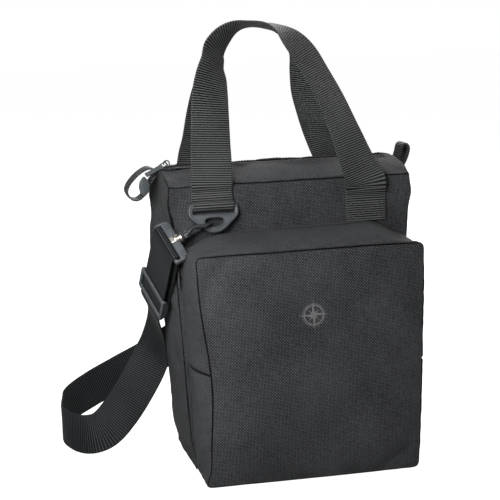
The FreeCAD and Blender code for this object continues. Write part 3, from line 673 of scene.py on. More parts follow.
def main_shell():
    """The main compartment's panels, puffed out and creased, with the two closed ends of its zip."""
    grids = main_grids()
    shell = Shell(grids, (0, 0, 0.14), 1.6 * MM)
    x, depth, z = shell.points.T
    behind_pocket = (depth < 0.5 * MM - HALF_DEPTH) & (z < SHADOW_TOP) & (np.abs(x) < SHADOW_HALF)
    shell.held |= behind_pocket
    for name in ("zip_gap", "main_base_panel"):
        shell.held[shell.on(name)] = True
    cap = np.full(len(x), 5.5)
    for region, most in (
            (shell.on("main_front_panel"), 2.6), (shell.on("main_back_panel"), 4.5),
            ((depth > HALF_DEPTH - 1 * MM) & (x > 40 * MM) & (z > 180 * MM), 0.6),
            ((x < -100 * MM) & (z > 252 * MM) & (np.abs(depth) < 30 * MM), 1.2),
            (shell.on("top_strip_front"), 1.6), (shell.on("top_strip_rear"), 2.6),
            (shell.on("main_side_right"), 3.5)):
        cap[region] = most
    shell.inflate(cap * MM)
    x, depth, z = shell.points.T
    free = ~(behind_pocket | (z < 2 * MM))
    free[shell.on("zip_gap")] = False
    relief = ripples(shell.points * (1, 1, 0.55), 55 * MM, 3) * 0.9 + ripples(shell.points, 24 * MM, 5) * 0.3
    relief += ripples(shell.points, 9 * MM, 8) * 0.22
    relief -= hollow(shell.points, (-112, -50, 245), (16, 20, 26)) * 3.2
    relief -= hollow(shell.points, (-121, 5, 266), (16, 28, 24)) * 4.5
    relief -= bump(x - 84 * MM, 26 * MM) * bump(z - 226 * MM, 30 * MM) * (depth > HALF_DEPTH - 4 * MM) * 3.0
    shell.push(np.where(free, relief * MM, 0))
    welt = bump(np.abs(depth) - (ZIP_HALF + 2.2 * MM), 1.6 * MM)
    shell.points[:, 2] += welt * (z > SEAM_Z + 2 * MM) * (np.abs(x) < ZIP_REACH) * MM
    for plane, names in PANEL_PLANES.items():
        for name in names:
            dress(shell.panel(name, grids[name][..., plane]), BODY_FABRIC, "bag", "body_fabric", name)
    gap = grids["zip_gap"]
    columns = np.flatnonzero(np.abs(gap[:, 0, 0]) > 106 * MM)
    for label, rows in (("zip_end_left", columns[columns < len(gap) // 2]),
                        ("zip_end_right", columns[columns > len(gap) // 2])):
        shell.index[label] = shell.index["zip_gap"][rows]
        dress(shell.panel(label, gap[rows][..., (0, 1)]), BODY_FABRIC, "bag", "body_fabric")


# ---------------------------------------------------------------- front pocket
pocket_low, pocket_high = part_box("pocket_front_panel")
POCKET_TOP = pocket_high.z
POCKET_FRONT = pocket_low.y
POCKET_HALF = pocket_high.x
POCKET_BASE_HALF = POCKET_HALF - 8 * MM
SPLIT_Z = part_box("pocket_gusset_lower")[1].z + 0.2 * MM
ZIP_FRONT_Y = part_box("pocket_gusset_upper")[1].y
WALL_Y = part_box("pocket_gusset_lower")[1].y
CORNER = 6 * MM


def pocket_outline(u, z):
    """A point of the pocket's front, with u from -1 to 1 across; its corners are round."""
    half = POCKET_BASE_HALF + (POCKET_HALF - POCKET_BASE_HALF) * z / POCKET_TOP
    x = np.abs(u) * half
    middle = POCKET_TOP / 2
    rise = np.abs(z - middle)
    a, b = (x - half + CORNER) / CORNER, (rise - middle + CORNER) / CORNER
    corner = (a > 0) & (b > 0)
    a, b = np.clip(a, 0, 1), np.clip(b, 0, 1)
    x = np.where(corner, half - CORNER + CORNER * a * np.sqrt(1 - b * b / 2), x)
    rise = np.where(corner, middle - CORNER + CORNER * b * np.sqrt(1 - a * a / 2), rise)
    return np.sign(u) * x, middle + np.sign(z - middle) * rise


def seam_shift(x, z):
    """How far the front's side seams stray: the left one bows in beside the puffed gusset."""
    left = 3 + 7.5 * bump(z - 100 * MM, 60 * MM) - 6 * bump(z, 12 * MM)
    return np.where(x < 0, left, 3) * MM * np.minimum(np.abs(x) / POCKET_BASE_HALF, 1) ** 3


def crown(x):
    """How far the pocket's top rises towards the bag."""
    end = np.clip((np.abs(x) - 72 * MM) / (38 * MM), 0, 1)
    return (13.5 * MM + 0.02 * x) * (1 - end ** 2 * (3 - 2 * end))


def pocket_shell():
    """The front pocket's panels. Returns the curve of its back edge, where the zip runs."""
    u = stations(2 * POCKET_HALF) * 2 - 1
    z = np.concatenate([stations(SPLIT_Z) * SPLIT_Z,
                        SPLIT_Z + (stations(POCKET_TOP - SPLIT_Z) * (POCKET_TOP - SPLIT_Z))[1:]])
    split = int(np.argmin(np.abs(z - SPLIT_Z)))
    x, z = pocket_outline(u[:, None], z[None])
    plain = sheet(x, POCKET_FRONT, z)
    front = sheet(x + seam_shift(x, z), POCKET_FRONT, z)
    depth = POCKET_FRONT + stations(ZIP_FRONT_Y - POCKET_FRONT) * (ZIP_FRONT_Y - POCKET_FRONT)
    full = np.concatenate([depth, np.linspace(ZIP_FRONT_Y, WALL_Y, 4)[1:]])

    def lower(grid):
        return np.concatenate([grid[0, :split + 1][::-1], grid[1:-1, 0], grid[-1, :split + 1]])

    def upper(grid):
        return np.concatenate([grid[0, split:], grid[1:-1, -1], grid[-1, split:][::-1]])

    def band(edge, ys):
        share = ((ys - POCKET_FRONT) / (WALL_Y - POCKET_FRONT))[None, :]
        fore, rear = edge(front), edge(plain)
        x = fore[:, :1] * (1 - share) + rear[:, :1] * share
        side = np.clip(np.abs(rear[:, :1]) / (95 * MM) - 0.1, 0, 1) ** 8 * np.sign(rear[:, :1])
        upright = np.clip(np.minimum(rear[:, 2:], POCKET_TOP - rear[:, 2:]) / (40 * MM), 0, 1)
        x = x + side * upright * 5 * MM * np.sin(math.pi * share)
        z = rear[:, 2:] + np.where(rear[:, 2:] > POCKET_TOP / 2, crown(rear[:, :1]), 0) * share ** 0.8
        return sheet(x, ys[None], z)

    low, high = lower(plain), upper(plain)
    grids = {"pocket_front_panel": front, "pocket_gusset_lower": band(lower, full),
             "pocket_gusset_upper": band(upper, depth)}
    shell = Shell(grids, (0, -0.08, 0.11), 2.0 * MM)
    shell.held |= shell.points[:, 1] > ZIP_FRONT_Y - 1 * MM
    cap = np.full(len(shell.points), 3.0 * MM)
    cap[shell.on("pocket_front_panel")] = 5.5 * MM
    shell.inflate(cap)
    relief = ripples(shell.points * (1, 1, 0.6), 70 * MM, 21) * 0.7
    relief += ripples(shell.points, 30 * MM, 23) * 0.22 + ripples(shell.points, 9 * MM, 29) * 0.15
    shell.push(np.where(shell.points[:, 1] < ZIP_FRONT_Y - 4 * MM, relief * MM, 0))
    shell.points[:, 2] = np.maximum(shell.points[:, 2], 0.3 * MM)
    around = {}
    for name, edge in (("pocket_gusset_lower", low), ("pocket_gusset_upper", high)):
        run = np.concatenate([[0], np.cumsum(np.linalg.norm(np.diff(edge, axis=0), axis=1))])
        grid = grids[name]
        around[name] = np.stack(np.broadcast_arrays(grid[..., 1], run[:, None]), -1)
    for name, grid in grids.items():
        thing = shell.panel(name, around.get(name, grid[..., (0, 2)]))
        dress(thing, BODY_FABRIC, "bag", "body_fabric", name)
    return band(upper, np.array([WALL_Y]))[:, 0]


main_shell()
zip_arch = pocket_shell()


# ================================================================ webbing
# Each handle's centre line in millimetres, from its ring to its anchor, and the direction of its width
# at each of those points.
FRONT_HANDLE = [
    (-78, -55.1, 263.2), (-78, -55.1, 269), (-78, -54.3, 274), (-78, -55.8, 281), (-77, -52, 298),
    (-76, -46, 322), (-74, -40, 359), (-71, -35, 380), (-68, -31, 395), (-64, -27, 408),
    (-54, -24, 419), (-39, -22, 427), (-20, -22, 429.5), (-4, -23, 425.5), (10, -26, 415),
    (22, -30, 400), (35, -36, 376), (46, -41, 353), (56, -46, 326), (65, -51.5, 299),
    (73, -57.4, 277), (74, -56.6, 268), (74, -54.1, 261.5), (74, -54.8, 255), (74, -55.2, 236)]
FRONT_TURN = [
    (1, 0, 0), (1, 0, 0), (1, 0, 0), (1, 0, 0), (1, 0.05, 0), (1, 0.19, 0), (0.94, 0.33, 0),
    (0.85, 0.53, 0), (0.68, 0.73, 0), (0.66, 0.74, -0.1), (0.62, 0.77, -0.15), (0.48, 0.86, -0.12),
    (0.24, 0.96, -0.08), (0.3, 0.94, 0.08), (0.6, 0.76, 0.2), (0.77, 0.62, 0.12), (0.82, 0.57, -0.05),
    (0.84, 0.54, -0.1), (0.89, 0.45, -0.12), (0.95, 0.27, -0.12), (1, 0.05, 0), (1, 0, 0), (1, 0, 0),
    (1, 0, 0), (1, 0, 0)]
REAR_HANDLE = [
    (78, 55.1, 263.2), (78, 55.1, 269), (78, 54.3, 274), (77, 55.8, 281), (65, 49, 297),
    (54, 45, 315), (46, 41, 337), (40, 37, 357), (37, 34, 376), (34, 31, 393), (26, 28, 409),
    (13, 25, 419.5), (-1, 23, 424.5), (-17, 22, 426.5), (-32, 23, 424), (-46, 25, 417),
    (-54, 28, 405), (-58, 33, 388), (-63, 38, 365), (-67, 42, 342), (-70, 46, 317),
    (-72, 51, 300), (-74, 57.4, 277), (-74, 56.6, 268), (-74, 54.1, 261.5), (-74, 54.8, 255),
    (-74, 55.2, 236)]
REAR_TURN = [
    (1, 0, 0), (1, 0, 0), (1, 0, 0), (1, -0.1, 0), (0.85, -0.5, 0), (0.62, -0.78, 0),
    (0.56, -0.83, 0), (0.54, -0.84, 0), (0.46, -0.89, 0), (0.3, -0.95, 0), (0.05, -1, 0.12),
    (-0.11, -1, 0.12), (-0.2, -0.98, 0.1), (-0.22, -0.97, 0.08), (-0.3, -0.95, 0.1),
    (-0.36, -0.92, 0.12), (-0.42, -0.9, 0.1), (-0.62, -0.78, 0.1), (-0.8, -0.6, 0.05),
    (-0.87, -0.48, 0), (-0.94, -0.34, 0), (-1, -0.15, 0), (-1, 0, 0), (-1, 0, 0), (-1, 0, 0),
    (-1, 0, 0), (-1, 0, 0)]
BAR_Y, BAR_Z = -56.9, 260.0
RING_X = 78.0
ANCHOR_X = 74
UNDER_Y = 53.1
LEG_TURN = 3.8


def handles():
    """Both handles, each bent at the line where it leaves its stitched ends, their anchors and ring legs."""
    for label, path, turn, side in (("front", FRONT_HANDLE, FRONT_TURN, -1),
                                    ("rear", REAR_HANDLE, REAR_TURN, 1)):
        thing = webbing(label + "_handle", path, turn, WEBBING, None)
        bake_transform(thing)
        under = [(-side * ANCHOR_X, side * UNDER_Y, z) for z in (267, 252, 237)]
        webbing(label + "_handle_anchor", under, [(1, 0, 0)] * 3, WEBBING, "bag", wobble=0)
        ring_leg(label, side)


def ring_leg(label, side):
    """The webbing that runs round the ring's bar and is stitched behind the handle's end."""
    x = RING_X * side
    path = [(x, side * 55.1, 264.5), (x, side * 57.6, 264.1)]
    for angle in (20, 60, 100, 140, 180, 225, 270):
        swing = math.radians(angle)
        path.append((x, side * (LEG_TURN * math.sin(swing) - BAR_Y), BAR_Z + LEG_TURN * math.cos(swing)))
    path += [(x, side * UNDER_Y, 264), (x, side * UNDER_Y, 270)]
    webbing(label + "_ring_leg", path, [(1, 0, 0)] * len(path), WEBBING, "bag", wobble=0)


handles()

# ---------------------------------------------------------------- shoulder strap
RING_TILT = math.radians(18)
HOOK_REACH = 38.0
BAR_DROP = 2.8
PLY_OFFSET = 3.6
GLIDE_STATION = 73.0
RETURN_RUN = 82.0
STRAIGHT_RUN = 96.0
HOOK_AIM = {-1: (0.925, 0.050, 0.375), 1: (0.860, 0.0, 0.510)}
FRAME_ACROSS = {-1: (0.26, -0.70, -0.665), 1: (0.51, 0.0, -0.86)}
HOOK_OPEN = {-1: (-0.06, -0.95, 0.16), 1: (0, 1, 0)}
GLIDE_DIRECTION = unit(np.array([-0.05, 0.67, -0.741]))
STRAP_RUN = [(-124.5, 30, 133), (-125, 44, 108), (-131, 47, 88), (-146, 42, 64), (-164, 34, 42),
             (-182, 29, 26), (-199, 32, 21), (-214, 46, 22), (-221, 68, 26), (-213, 90, 36),
             (-186, 98, 51), (-155, 99, 65), (-115, 92, 86), (-65, 83, 120), (-20, 74, 160)]
STRAP_TURN = [(0.26, -0.70, -0.66), (0.42, -0.60, -0.66), (0.62, -0.42, -0.62), (0.78, -0.28, -0.55),
              (0.8, -0.25, -0.55), (0.72, -0.28, -0.63), (0.5, -0.38, -0.78), (0.2, -0.25, -0.94),
              (0.02, -0.05, -1), (-0.1, 0.1, -1), (-0.05, 0.12, -1), (0.15, 0.1, -1),
              (0.3, 0.05, -0.95), (0.48, 0, -0.88), (0.5, 0, -0.86)]


def ring_frame(side):
    """Axes and origin (mm) of a ring: X across, Y to the panel, Z up its plate; the bar is at its origin."""
    x_axis = np.array([-side, 0.0, 0.0])
    z_axis = np.array([0.0, -side * math.sin(RING_TILT), math.cos(RING_TILT)])
    axes = np.array([x_axis, np.cross(z_axis, x_axis), z_axis])
    return axes, np.array([RING_X * side, -side * BAR_Y, BAR_Z])


def rim(side):
    """Where the hook takes hold of the ring (mm)."""
    axes, origin = ring_frame(side)
    return np.array([10.0 * side, 0, -18.6]) @ axes + origin


def hook_axes(side):
    """Axes of a hook's frame: X along its slot, Z along the hook towards the ring."""
    aim = unit(np.array(HOOK_AIM[side]))
    across = np.array(FRAME_ACROSS[side]) - aim * np.dot(FRAME_ACROSS[side], aim)
    across = unit(across)
    return np.array([across, np.cross(aim, across), aim])


def frame_origin(side):
    """The middle of a hook's frame (mm)."""
    return rim(side) - hook_axes(side)[2] * HOOK_REACH


def glide_axes():
    """Across the strap, down it and out of it, along the stretch where the length slider sits."""
    across = hook_axes(-1)[0]
    across = unit(across - GLIDE_DIRECTION * np.dot(across, GLIDE_DIRECTION))
    return across, GLIDE_DIRECTION, np.cross(GLIDE_DIRECTION, across)


def shoulder_strap():
    """The strap from its sewn end, round the front frame's bar, behind the bag and round the rear bar."""
    across, down, out = glide_axes()
    bar = frame_origin(-1) - hook_axes(-1)[2] * BAR_DROP
    centres, widths = [], []

    def add(point, turn):
        centres.append(tuple(point))
        widths.append(tuple(turn))

    for share in (1.0, 0.75, 0.5, 0.25, 0.06):
        add(bar + down * RETURN_RUN * share - out * PLY_OFFSET, across)
    for angle in (45, 90, 135):
        swing = math.radians(angle)
        add(bar - out * (PLY_OFFSET * math.cos(swing)) - down * (PLY_OFFSET * math.sin(swing)), across)
    for share in (0.06, 0.25, 0.5, 0.75, 0.9, 1.0):
        add(bar + down * STRAIGHT_RUN * share + out * PLY_OFFSET, across)
    for point, turn in zip(STRAP_RUN, STRAP_TURN):
        add(point, turn)
    across, out, aim = hook_axes(1)
    bar = frame_origin(1) - aim * BAR_DROP
    for back in (24, 8):
        add(bar - aim * back + out * PLY_OFFSET, across)
    for angle in (0, 45, 90, 135, 180):
        swing = math.radians(angle)
        add(bar + out * (PLY_OFFSET * math.cos(swing)) + aim * (PLY_OFFSET * math.sin(swing)), across)
    for back in (8, 20):
        add(bar - aim * back - out * PLY_OFFSET, across)
    # the strap's webbing colour is painted darker for shade
    webbing("shoulder_strap", centres, widths, STRAP_WEB_SHADED, "shoulder_strap")


shoulder_strap()

# ---------------------------------------------------------------- end tabs
# Folded webbing: loops of (x, z) in millimetres.
TAB_Y = 13
END_TABS = {
    "end_tab_left": [(-121.5, 289), (-129, 292), (-139, 287), (-148, 278), (-151, 270), (-147, 263),
                     (-140, 262), (-133, 268), (-127, 279), (-122, 285)],
    "end_tab_right": [(121.5, 283), (126, 286), (129, 294), (131, 301), (135, 303), (138, 299),
                      (136.5, 291), (132, 282), (126, 278.5), (122, 278)]}
for tab_name, tab_loop in END_TABS.items():
    webbing(tab_name, [(x, TAB_Y, z) for x, z in tab_loop], [(0, 1, 0)] * len(tab_loop), WEBBING, tab_name,
            width=22 * MM, gauge=2 * MM, wobble=0)


# ================================================================ rings, hooks and glide
def hardware(name, parts, axes, origin, finish, body, slot, *nodes):
    """One hard piece from parts made in millimetres in a local frame."""
    placed = [turned(part, axes, origin) for part in parts]
    thing = join(name, [(points * MM, faces) for points, faces in placed])
    dress(thing, finish, body, slot, *nodes)


def xz_plate(loops, thickness, bevel):
    """A plate in the XZ plane, its thickness along Y."""
    points, faces = plate(loops, thickness, bevel)
    return points[:, (0, 2, 1)] * (1, -1, 1), faces


RING_OUTLINE = mirror([(5.5, -25), (24, -9), (24, -1), (21.5, 2)])
RING_EYE = mirror([(4, -20.2), (8.6, -17.5), (9.4, -13.4), (6.5, -10.6)])


def flat_rim(outline, wide, high, drop, radius, flat=1.0):
    """A round rim that follows a flat outline, scaled about the ring's bar."""
    path = np.column_stack([outline[:, 0] * wide, np.zeros(len(outline)), outline[:, 1] * high + drop])
    return tube(path, radius, closed=True, up=(0, 1, 0), flat=flat)


def ring(label, side):
    """A moulded ring: a slot for the webbing over a plate with an eye, all edged with a round rim."""
    outline = rounded(RING_OUTLINE, [7, 7, 3, 2, 2, 3, 7, 7])
    slot = rounded(mirror([(20.4, -7.2), (20.4, -1.9)]), 0.8)
    eye = rounded(RING_EYE, 3)
    inner = rounded(mirror([(5.2, -24.3), (23.2, -8.8), (23.2, -1.2), (21, 1.6)]), 2.5)
    web = xz_plate([inner, slot, eye], 2.2, 0.5)
    rail = flat_rim(outline, 0.955, 0.95, -0.5, 1.65)
    lip = flat_rim(eye, 1.08, 1.04, 0.6, 1.1, 1.35)
    ledge = tube([(-21, 0, -8.2), (21, 0, -8.2)], 1.25, up=(0, 1, 0), flat=1.2)
    bar = tube([(-21.5, 0, -0.1), (21.5, 0, -0.1)], 1.6, up=(0, 1, 0))
    hardware(label + "_ring", (web, rail, lip, ledge, bar), *ring_frame(side), NYLON, label + "_ring",
             "moulded_plastic", label + "_ring")


FRAME_HALF, SLOT_HALF = 24.0, 21.1


def hook_frame(label, side):
    """The strap's slotted frame: a thick moulded block with a raised band round the hook's barrel."""
    place = (hook_axes(side), frame_origin(side))
    outline = rounded([(-FRAME_HALF, -4.3), (FRAME_HALF, -4.3), (FRAME_HALF, 7.0), (19, 10.6), (-19, 10.6),
                       (-FRAME_HALF, 7.0)], [2.6, 2.6, 2.6, 3, 3, 2.6])
    opening = rounded([(-SLOT_HALF, -1.3), (SLOT_HALF, -1.3), (SLOT_HALF, 2.0), (-SLOT_HALF, 2.0)], 0.8)
    loop = xz_plate([outline, opening], 5.6, 1.6)
    ribs = [tube([(x, -2.8, 3.2), (x, -3.1, 6.0), (x, -2.8, 9.0)], 0.7, sides=8, up=(1, 0, 0))
            for x in (-21, -18, -15, 15, 18, 21)]
    hardware(label + "_hook_frame", [loop] + ribs, *place, NYLON, "shoulder_strap", "moulded_plastic",
             label + "_hook_frame")
    profile = [(2.6, 5.6), (4.7, 5.6), (5.1, 6.1), (5.1, 7.4), (4.6, 7.8), (4.6, 11.4), (5.0, 11.9),
               (5.0, 13.0), (4.5, 13.5), (2.6, 13.5)]
    band = block((-3.5, -4.2, 1.8), (3.5, -2.2, 11.2), 0.8)
    hardware(label + "_hook_collar", (lathe(profile), band), *place, BRIGHT_METAL, "shoulder_strap",
             "black_metal")


def hook_place(side):
    """Axes and origin (mm) of a hook: Z to the ring, Y towards its gate."""
    aim = hook_axes(side)[2]
    open_way = unit(np.array(HOOK_OPEN[side]) - aim * np.dot(HOOK_OPEN[side], aim))
    return np.array([np.cross(-open_way, aim), -open_way, aim]), frame_origin(side)


HOOK_RADIUS, HOOK_WIRE, PIN_HEIGHT = 6.4, 1.9, 21.6


def hook(label, side):
    """The hook: a turned stem and shoulder, a round arm over the ring's rim, and its sprung gate."""
    place = hook_place(side)
    radius, wire = HOOK_RADIUS, HOOK_WIRE
    stem = lathe([(0.4, 2.9), (3.3, 2.9), (3.5, 3.4), (3.2, 4.1), (2.35, 4.3), (2.35, 13.7), (4.0, 13.8),
                  (4.4, 14.3), (4.2, 15.1), (3.0, 16.2), (0.4, 16.4)])
    shoulder = block((-2.4, -radius - wire, 15.2), (2.4, radius + wire - 0.6, 19.4), 1.1)
    path = [(0, -radius, 18), (-2.6, -radius, 23), (-3.8, -radius, 28), (-1.4, -radius, 34)]
    path += [(0, radius * math.cos(a), HOOK_REACH + radius * math.sin(a))
             for a in np.radians(np.linspace(180, 0, 15))]
    path += [(0, radius, HOOK_REACH - 2.6)]
    widths = np.full(len(path), wire)
    widths[0], widths[-1] = wire * 1.15, wire * 0.85
    arm = tube(path, widths, sides=12, up=(1, 0, 0), flat=1.15)
    cheeks = [block((x, radius - 2.2, 18.4), (x + 1.6, radius + 2.2, 23.0), 0.6) for x in (-3.9, 2.3)]
    pin = tube([(-4.2, radius, PIN_HEIGHT), (4.2, radius, PIN_HEIGHT)], 0.9, sides=12, up=(0, 0, 1))
    hardware(label + "_hook", [stem, shoulder, arm, pin] + cheeks, *place, DARK_METAL, label + "_hook",
             "black_metal", label + "_hook")
    leaf = block((-1.0, radius - 1.4, 20.4), (2.6, radius + 1.3, HOOK_REACH - 3.0), 0.7)
    nub = tube([(0, radius + 1.2, 30.5), (0, radius + 2.0, 31.2), (0, radius + 1.2, 32)], 0.7, up=(1, 0, 0))
    hardware(label + "_hook_gate", (leaf, nub), *place, DARK_METAL, label + "_gate", "black_metal",
             label + "_hook_gate")


def glide():
    """The three-bar slider: thin side rails, low outer bars and a raised middle bar."""
    across, down, out = glide_axes()
    origin = frame_origin(-1) - hook_axes(-1)[2] * BAR_DROP + down * GLIDE_STATION
    rails = []
    for x in (-(FRAME_HALF + SLOT_HALF) / 2, (FRAME_HALF + SLOT_HALF) / 2):
        side = rounded([(-14, -6.9), (14, -6.9), (14, -3.2), (7, 1.1), (-7, 1.1), (-14, -3.2)], 2.2)
        points, faces = plate([side], FRAME_HALF - SLOT_HALF, 0.8)
        rails.append((points[:, (2, 0, 1)] + (x, 0, 0), faces))
    reach = SLOT_HALF + 1
    bars = [block((-reach, y, -6.9), (reach, y + 5, -5.0), 0.8) for y in (-14, 9)]
    middle = block((-reach, -2.5, -1.1), (reach, 2.5, 1.1), 1.0)
    ridges = [tube([(x, -8, 0.2), (x, 0, 1.0), (x, 8, 0.2)], 0.5, sides=8, up=(1, 0, 0))
              for x in (-22.5, 22.5)]
    hardware("strap_glide", rails + bars + [middle] + ridges, np.array([across, down, -out]), origin,
             NYLON, "strap_glide", "black_metal", "strap_glide")


for ring_name, ring_side in SIDES:
    ring(ring_name, ring_side)
    hook_frame(ring_name, ring_side)
    hook(ring_name, ring_side)
glide()


# ================================================================ zips
COIL_PITCH = 1.35 * MM


def coil(path, sideways, upward, reach=1.25 * MM, rise=0.85 * MM, wire=0.42 * MM):
    """One side of a nylon zip: a thread wound round a path."""
    along, (path, sideways, upward) = even_steps([path, sideways, upward], COIL_PITCH / 10)
    angle = (along / COIL_PITCH * 2 * math.pi)[:, None]
    winding = path + sideways * np.cos(angle) * reach + upward * np.sin(angle) * rise
    ahead = units(np.gradient(path, axis=0))
    direction = units(np.gradient(winding, axis=0))
    first = units(np.cross(direction, ahead))
    second = np.cross(direction, first)
    turn = np.arange(5) * 2 * math.pi / 5
    ring = first[:, None] * np.cos(turn)[None, :, None] + second[:, None] * np.sin(turn)[None, :, None]
    return (winding[:, None] + ring * wire).reshape(-1, 3), tube_faces(len(winding), 5)


def chain(name, path, sign, upward, **gauges):
    """One side's coil of a zip, wound towards +Y or -Y by its sign."""
    sideways = np.tile((0, float(sign), 0), (len(path), 1))
    thing = join(name, [coil(path, sideways, upward, **gauges)], welded=False)
    dress(thing, ZIP_COIL, "bag", "zip_chain", name)


def tape(name, inner, outer, normal):
    """A woven zip tape between two edge curves, 0.7 mm thick."""
    shares = np.linspace(0, 1, 4)[None, :, None]
    grid = inner[:, None] * (1 - shares) + outer[:, None] * shares
    lift = normal[:, None] * 0.35 * MM
    points = np.concatenate([grid + lift, (grid - lift)[:, ::-1]], 1)
    thing = link_mesh(name, points.reshape(-1, 3), tube_faces(len(inner), 8))
    dress(thing, ZIP_TAPE, "bag", "zip_tape", name)


def top_zip():
    """The two coils and tapes of the top zip."""
    low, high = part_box("top_zip_chain_front")
    level = (low.z + high.z) / 2
    x = np.linspace(low.x, high.x, 60)
    upward = np.tile((0, 0, 1.0), (len(x), 1))
    rod_y = -(low.y + high.y) / 2
    for label, sign in SIDES:
        path = sheet(x, sign * rod_y, level)
        chain(f"top_zip_chain_{label}", path, sign, upward, reach=1.0 * MM)
        inner = path + (0, sign * 1.1 * MM, -0.2 * MM)
        outer = sheet(x, sign * (ZIP_HALF + 1.0 * MM), level - 0.2 * MM)
        tape(f"top_zip_tape_{label}", inner, outer, upward)


def pocket_zip(arch):
    """The zip round the pocket's back edge, from the split seam up and over."""
    arch = even_steps([arch], 2 * MM)[1][0]
    outward = np.cross(units(np.gradient(arch, axis=0)), (0, -1, 0))
    if (outward * (arch - (0, POCKET_FRONT, POCKET_TOP / 2))).sum() < 0:
        outward = -outward
    for label, edge, sign in (("rear", WALL_Y, 1), ("front", ZIP_FRONT_Y, -1)):
        low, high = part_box(f"pocket_zip_chain_{label}")
        path = arch - outward * 1.05 * MM
        path[:, 1] = (low.y + high.y) / 2
        chain(f"pocket_zip_chain_{label}", path, sign, outward, reach=0.85 * MM, rise=0.8 * MM,
              wire=0.36 * MM)
        inner = arch - outward * 1.3 * MM
        inner[:, 1] = path[:, 1] + sign * 0.3 * MM
        outer = arch - outward * 1.1 * MM
        outer[:, 1] = edge + sign * 0.4 * MM
        tape(f"pocket_zip_tape_{label}", inner, outer, outward)


top_zip()
pocket_zip(zip_arch)

BRIDGE_SHIFT = -3.4
BRIDGE_RISE = 4.2


def slider(name, length, width, web, axes, origin):
    """A zip slider: two shield-shaped wings, a web between, and the bridge its pull hangs from."""
    nose = BRIDGE_SHIFT - 1
    shield = rounded([(nose, -width * 0.32), (nose + 3, -width / 2), (nose + length, -width * 0.4),
                      (nose + length, width * 0.4), (nose + 3, width / 2), (nose, width * 0.32)], 1.6)
    top, bottom = plate([shield], 1.3, 0.4), plate([shield], 1.3, 0.4)
    top[0][:, 2] += 2.1
    bottom[0][:, 2] -= 2.1
    post = block((nose + 0.1, -web / 2, -1.8), (nose + 3, web / 2, 1.8), min(0.12, web / 3))
    lips = [tube([(nose + 2.2, y, 1.55), (nose + length - 0.4, y * 0.82, 1.55)], 0.45, sides=8, up=(0, 0, 1))
            for y in (-width / 2 + 0.55, width / 2 - 0.55)]
    angle = np.radians(np.linspace(-28, 208, 15))
    arch = np.stack([BRIDGE_SHIFT + 2.9 * np.cos(angle), np.zeros(15), BRIDGE_RISE + 2.9 * np.sin(angle)], 1)
    bridge = tube(arch, 0.6, sides=10, up=(0, 1, 0), flat=1.35)
    hardware(name, [top, bottom, post, bridge] + lips, axes, origin, DARK_METAL, name, "black_metal", name)


def pull(name, body, long, wide, finish, axes, origin):
    """A flat pull along X from the bridge, with a window at the bridge and a waisted tab."""
    half, waist = wide / 2, wide / 2 * 0.78
    edge = [(-0.7, -half), (5.5, -half), (8, -waist), (long - 3, -waist), (long, -half * 0.95)]
    tab = rounded(edge + [(x, -y) for x, y in reversed(edge)], [1.2, 1, 1, 1, 1.2] * 2)
    sill = half - 0.95
    window = rounded([(0.7, -sill), (4.7, -sill), (4.7, sill), (0.7, sill)], 0.5)
    ridges = [tube([(x, -half * 0.55, 0.62), (x, half * 0.55, 0.62)], 0.28, sides=8, up=(0, 0, 1))
              for x in np.arange(9.0, long - 3, 1.8)]
    hardware(name, [plate([tab, window], 1.25, 0.35)] + ridges, axes, origin, finish, body, "black_metal",
             name)


def frame_along(along, up):
    """Axes whose X runs along one direction and whose Z leans to another."""
    x_axis = unit(np.array(along, float))
    y_axis = unit(np.cross(up, x_axis))
    return np.array([x_axis, y_axis, np.cross(x_axis, y_axis)])


TOP_SLIDER = np.array([-108.5, 0, 292.6])
TOP_PULL_AIM = (-0.88, -0.12, -0.42)
TOP_PULL_FACE = (-0.2, -0.7, 0.7)
TOP_PULL_LENGTH = 24.0
GRIP_TURN = math.radians(8)


def top_slider():
    """The top zip's slider, its flat pull and the moulded grip that hangs from it."""
    slider("top_slider", 10, 8.5, 0.3, np.eye(3), TOP_SLIDER)
    eye = TOP_SLIDER + (BRIDGE_SHIFT, 0, BRIDGE_RISE)
    pull("top_pull_tab", "top_pull", TOP_PULL_LENGTH, 6, NYLON, frame_along(TOP_PULL_AIM, TOP_PULL_FACE), eye)
    end = eye + unit(np.array(TOP_PULL_AIM)) * (TOP_PULL_LENGTH + 1)
    outline = rounded([(-1, 0), (-4.4, -4.5), (-5.5, -10), (-4.2, -16), (0, -20), (4.2, -16), (5.5, -10),
                       (4.4, -4.5), (1, 0)], 0.7)
    inset = rounded([(-2.6, -5.5), (-3.4, -10), (-2.4, -14.5), (0, -16.8), (2.4, -14.5), (3.4, -10),
                     (2.6, -5.5)], 1)
    cos, sin = math.cos(GRIP_TURN), math.sin(GRIP_TURN)
    hardware("top_pull_grip", (xz_plate([outline], 2.6, 0.8), xz_plate([inset], 3.2, 0.5)),
             np.array([[cos, sin, 0], [-sin, cos, 0], [0, 0, 1]]), end + (-1, 0, -0.6), NYLON, "top_grip",
             "moulded_plastic", "top_pull_grip")


POCKET_LEAN = math.atan(8 / 222)


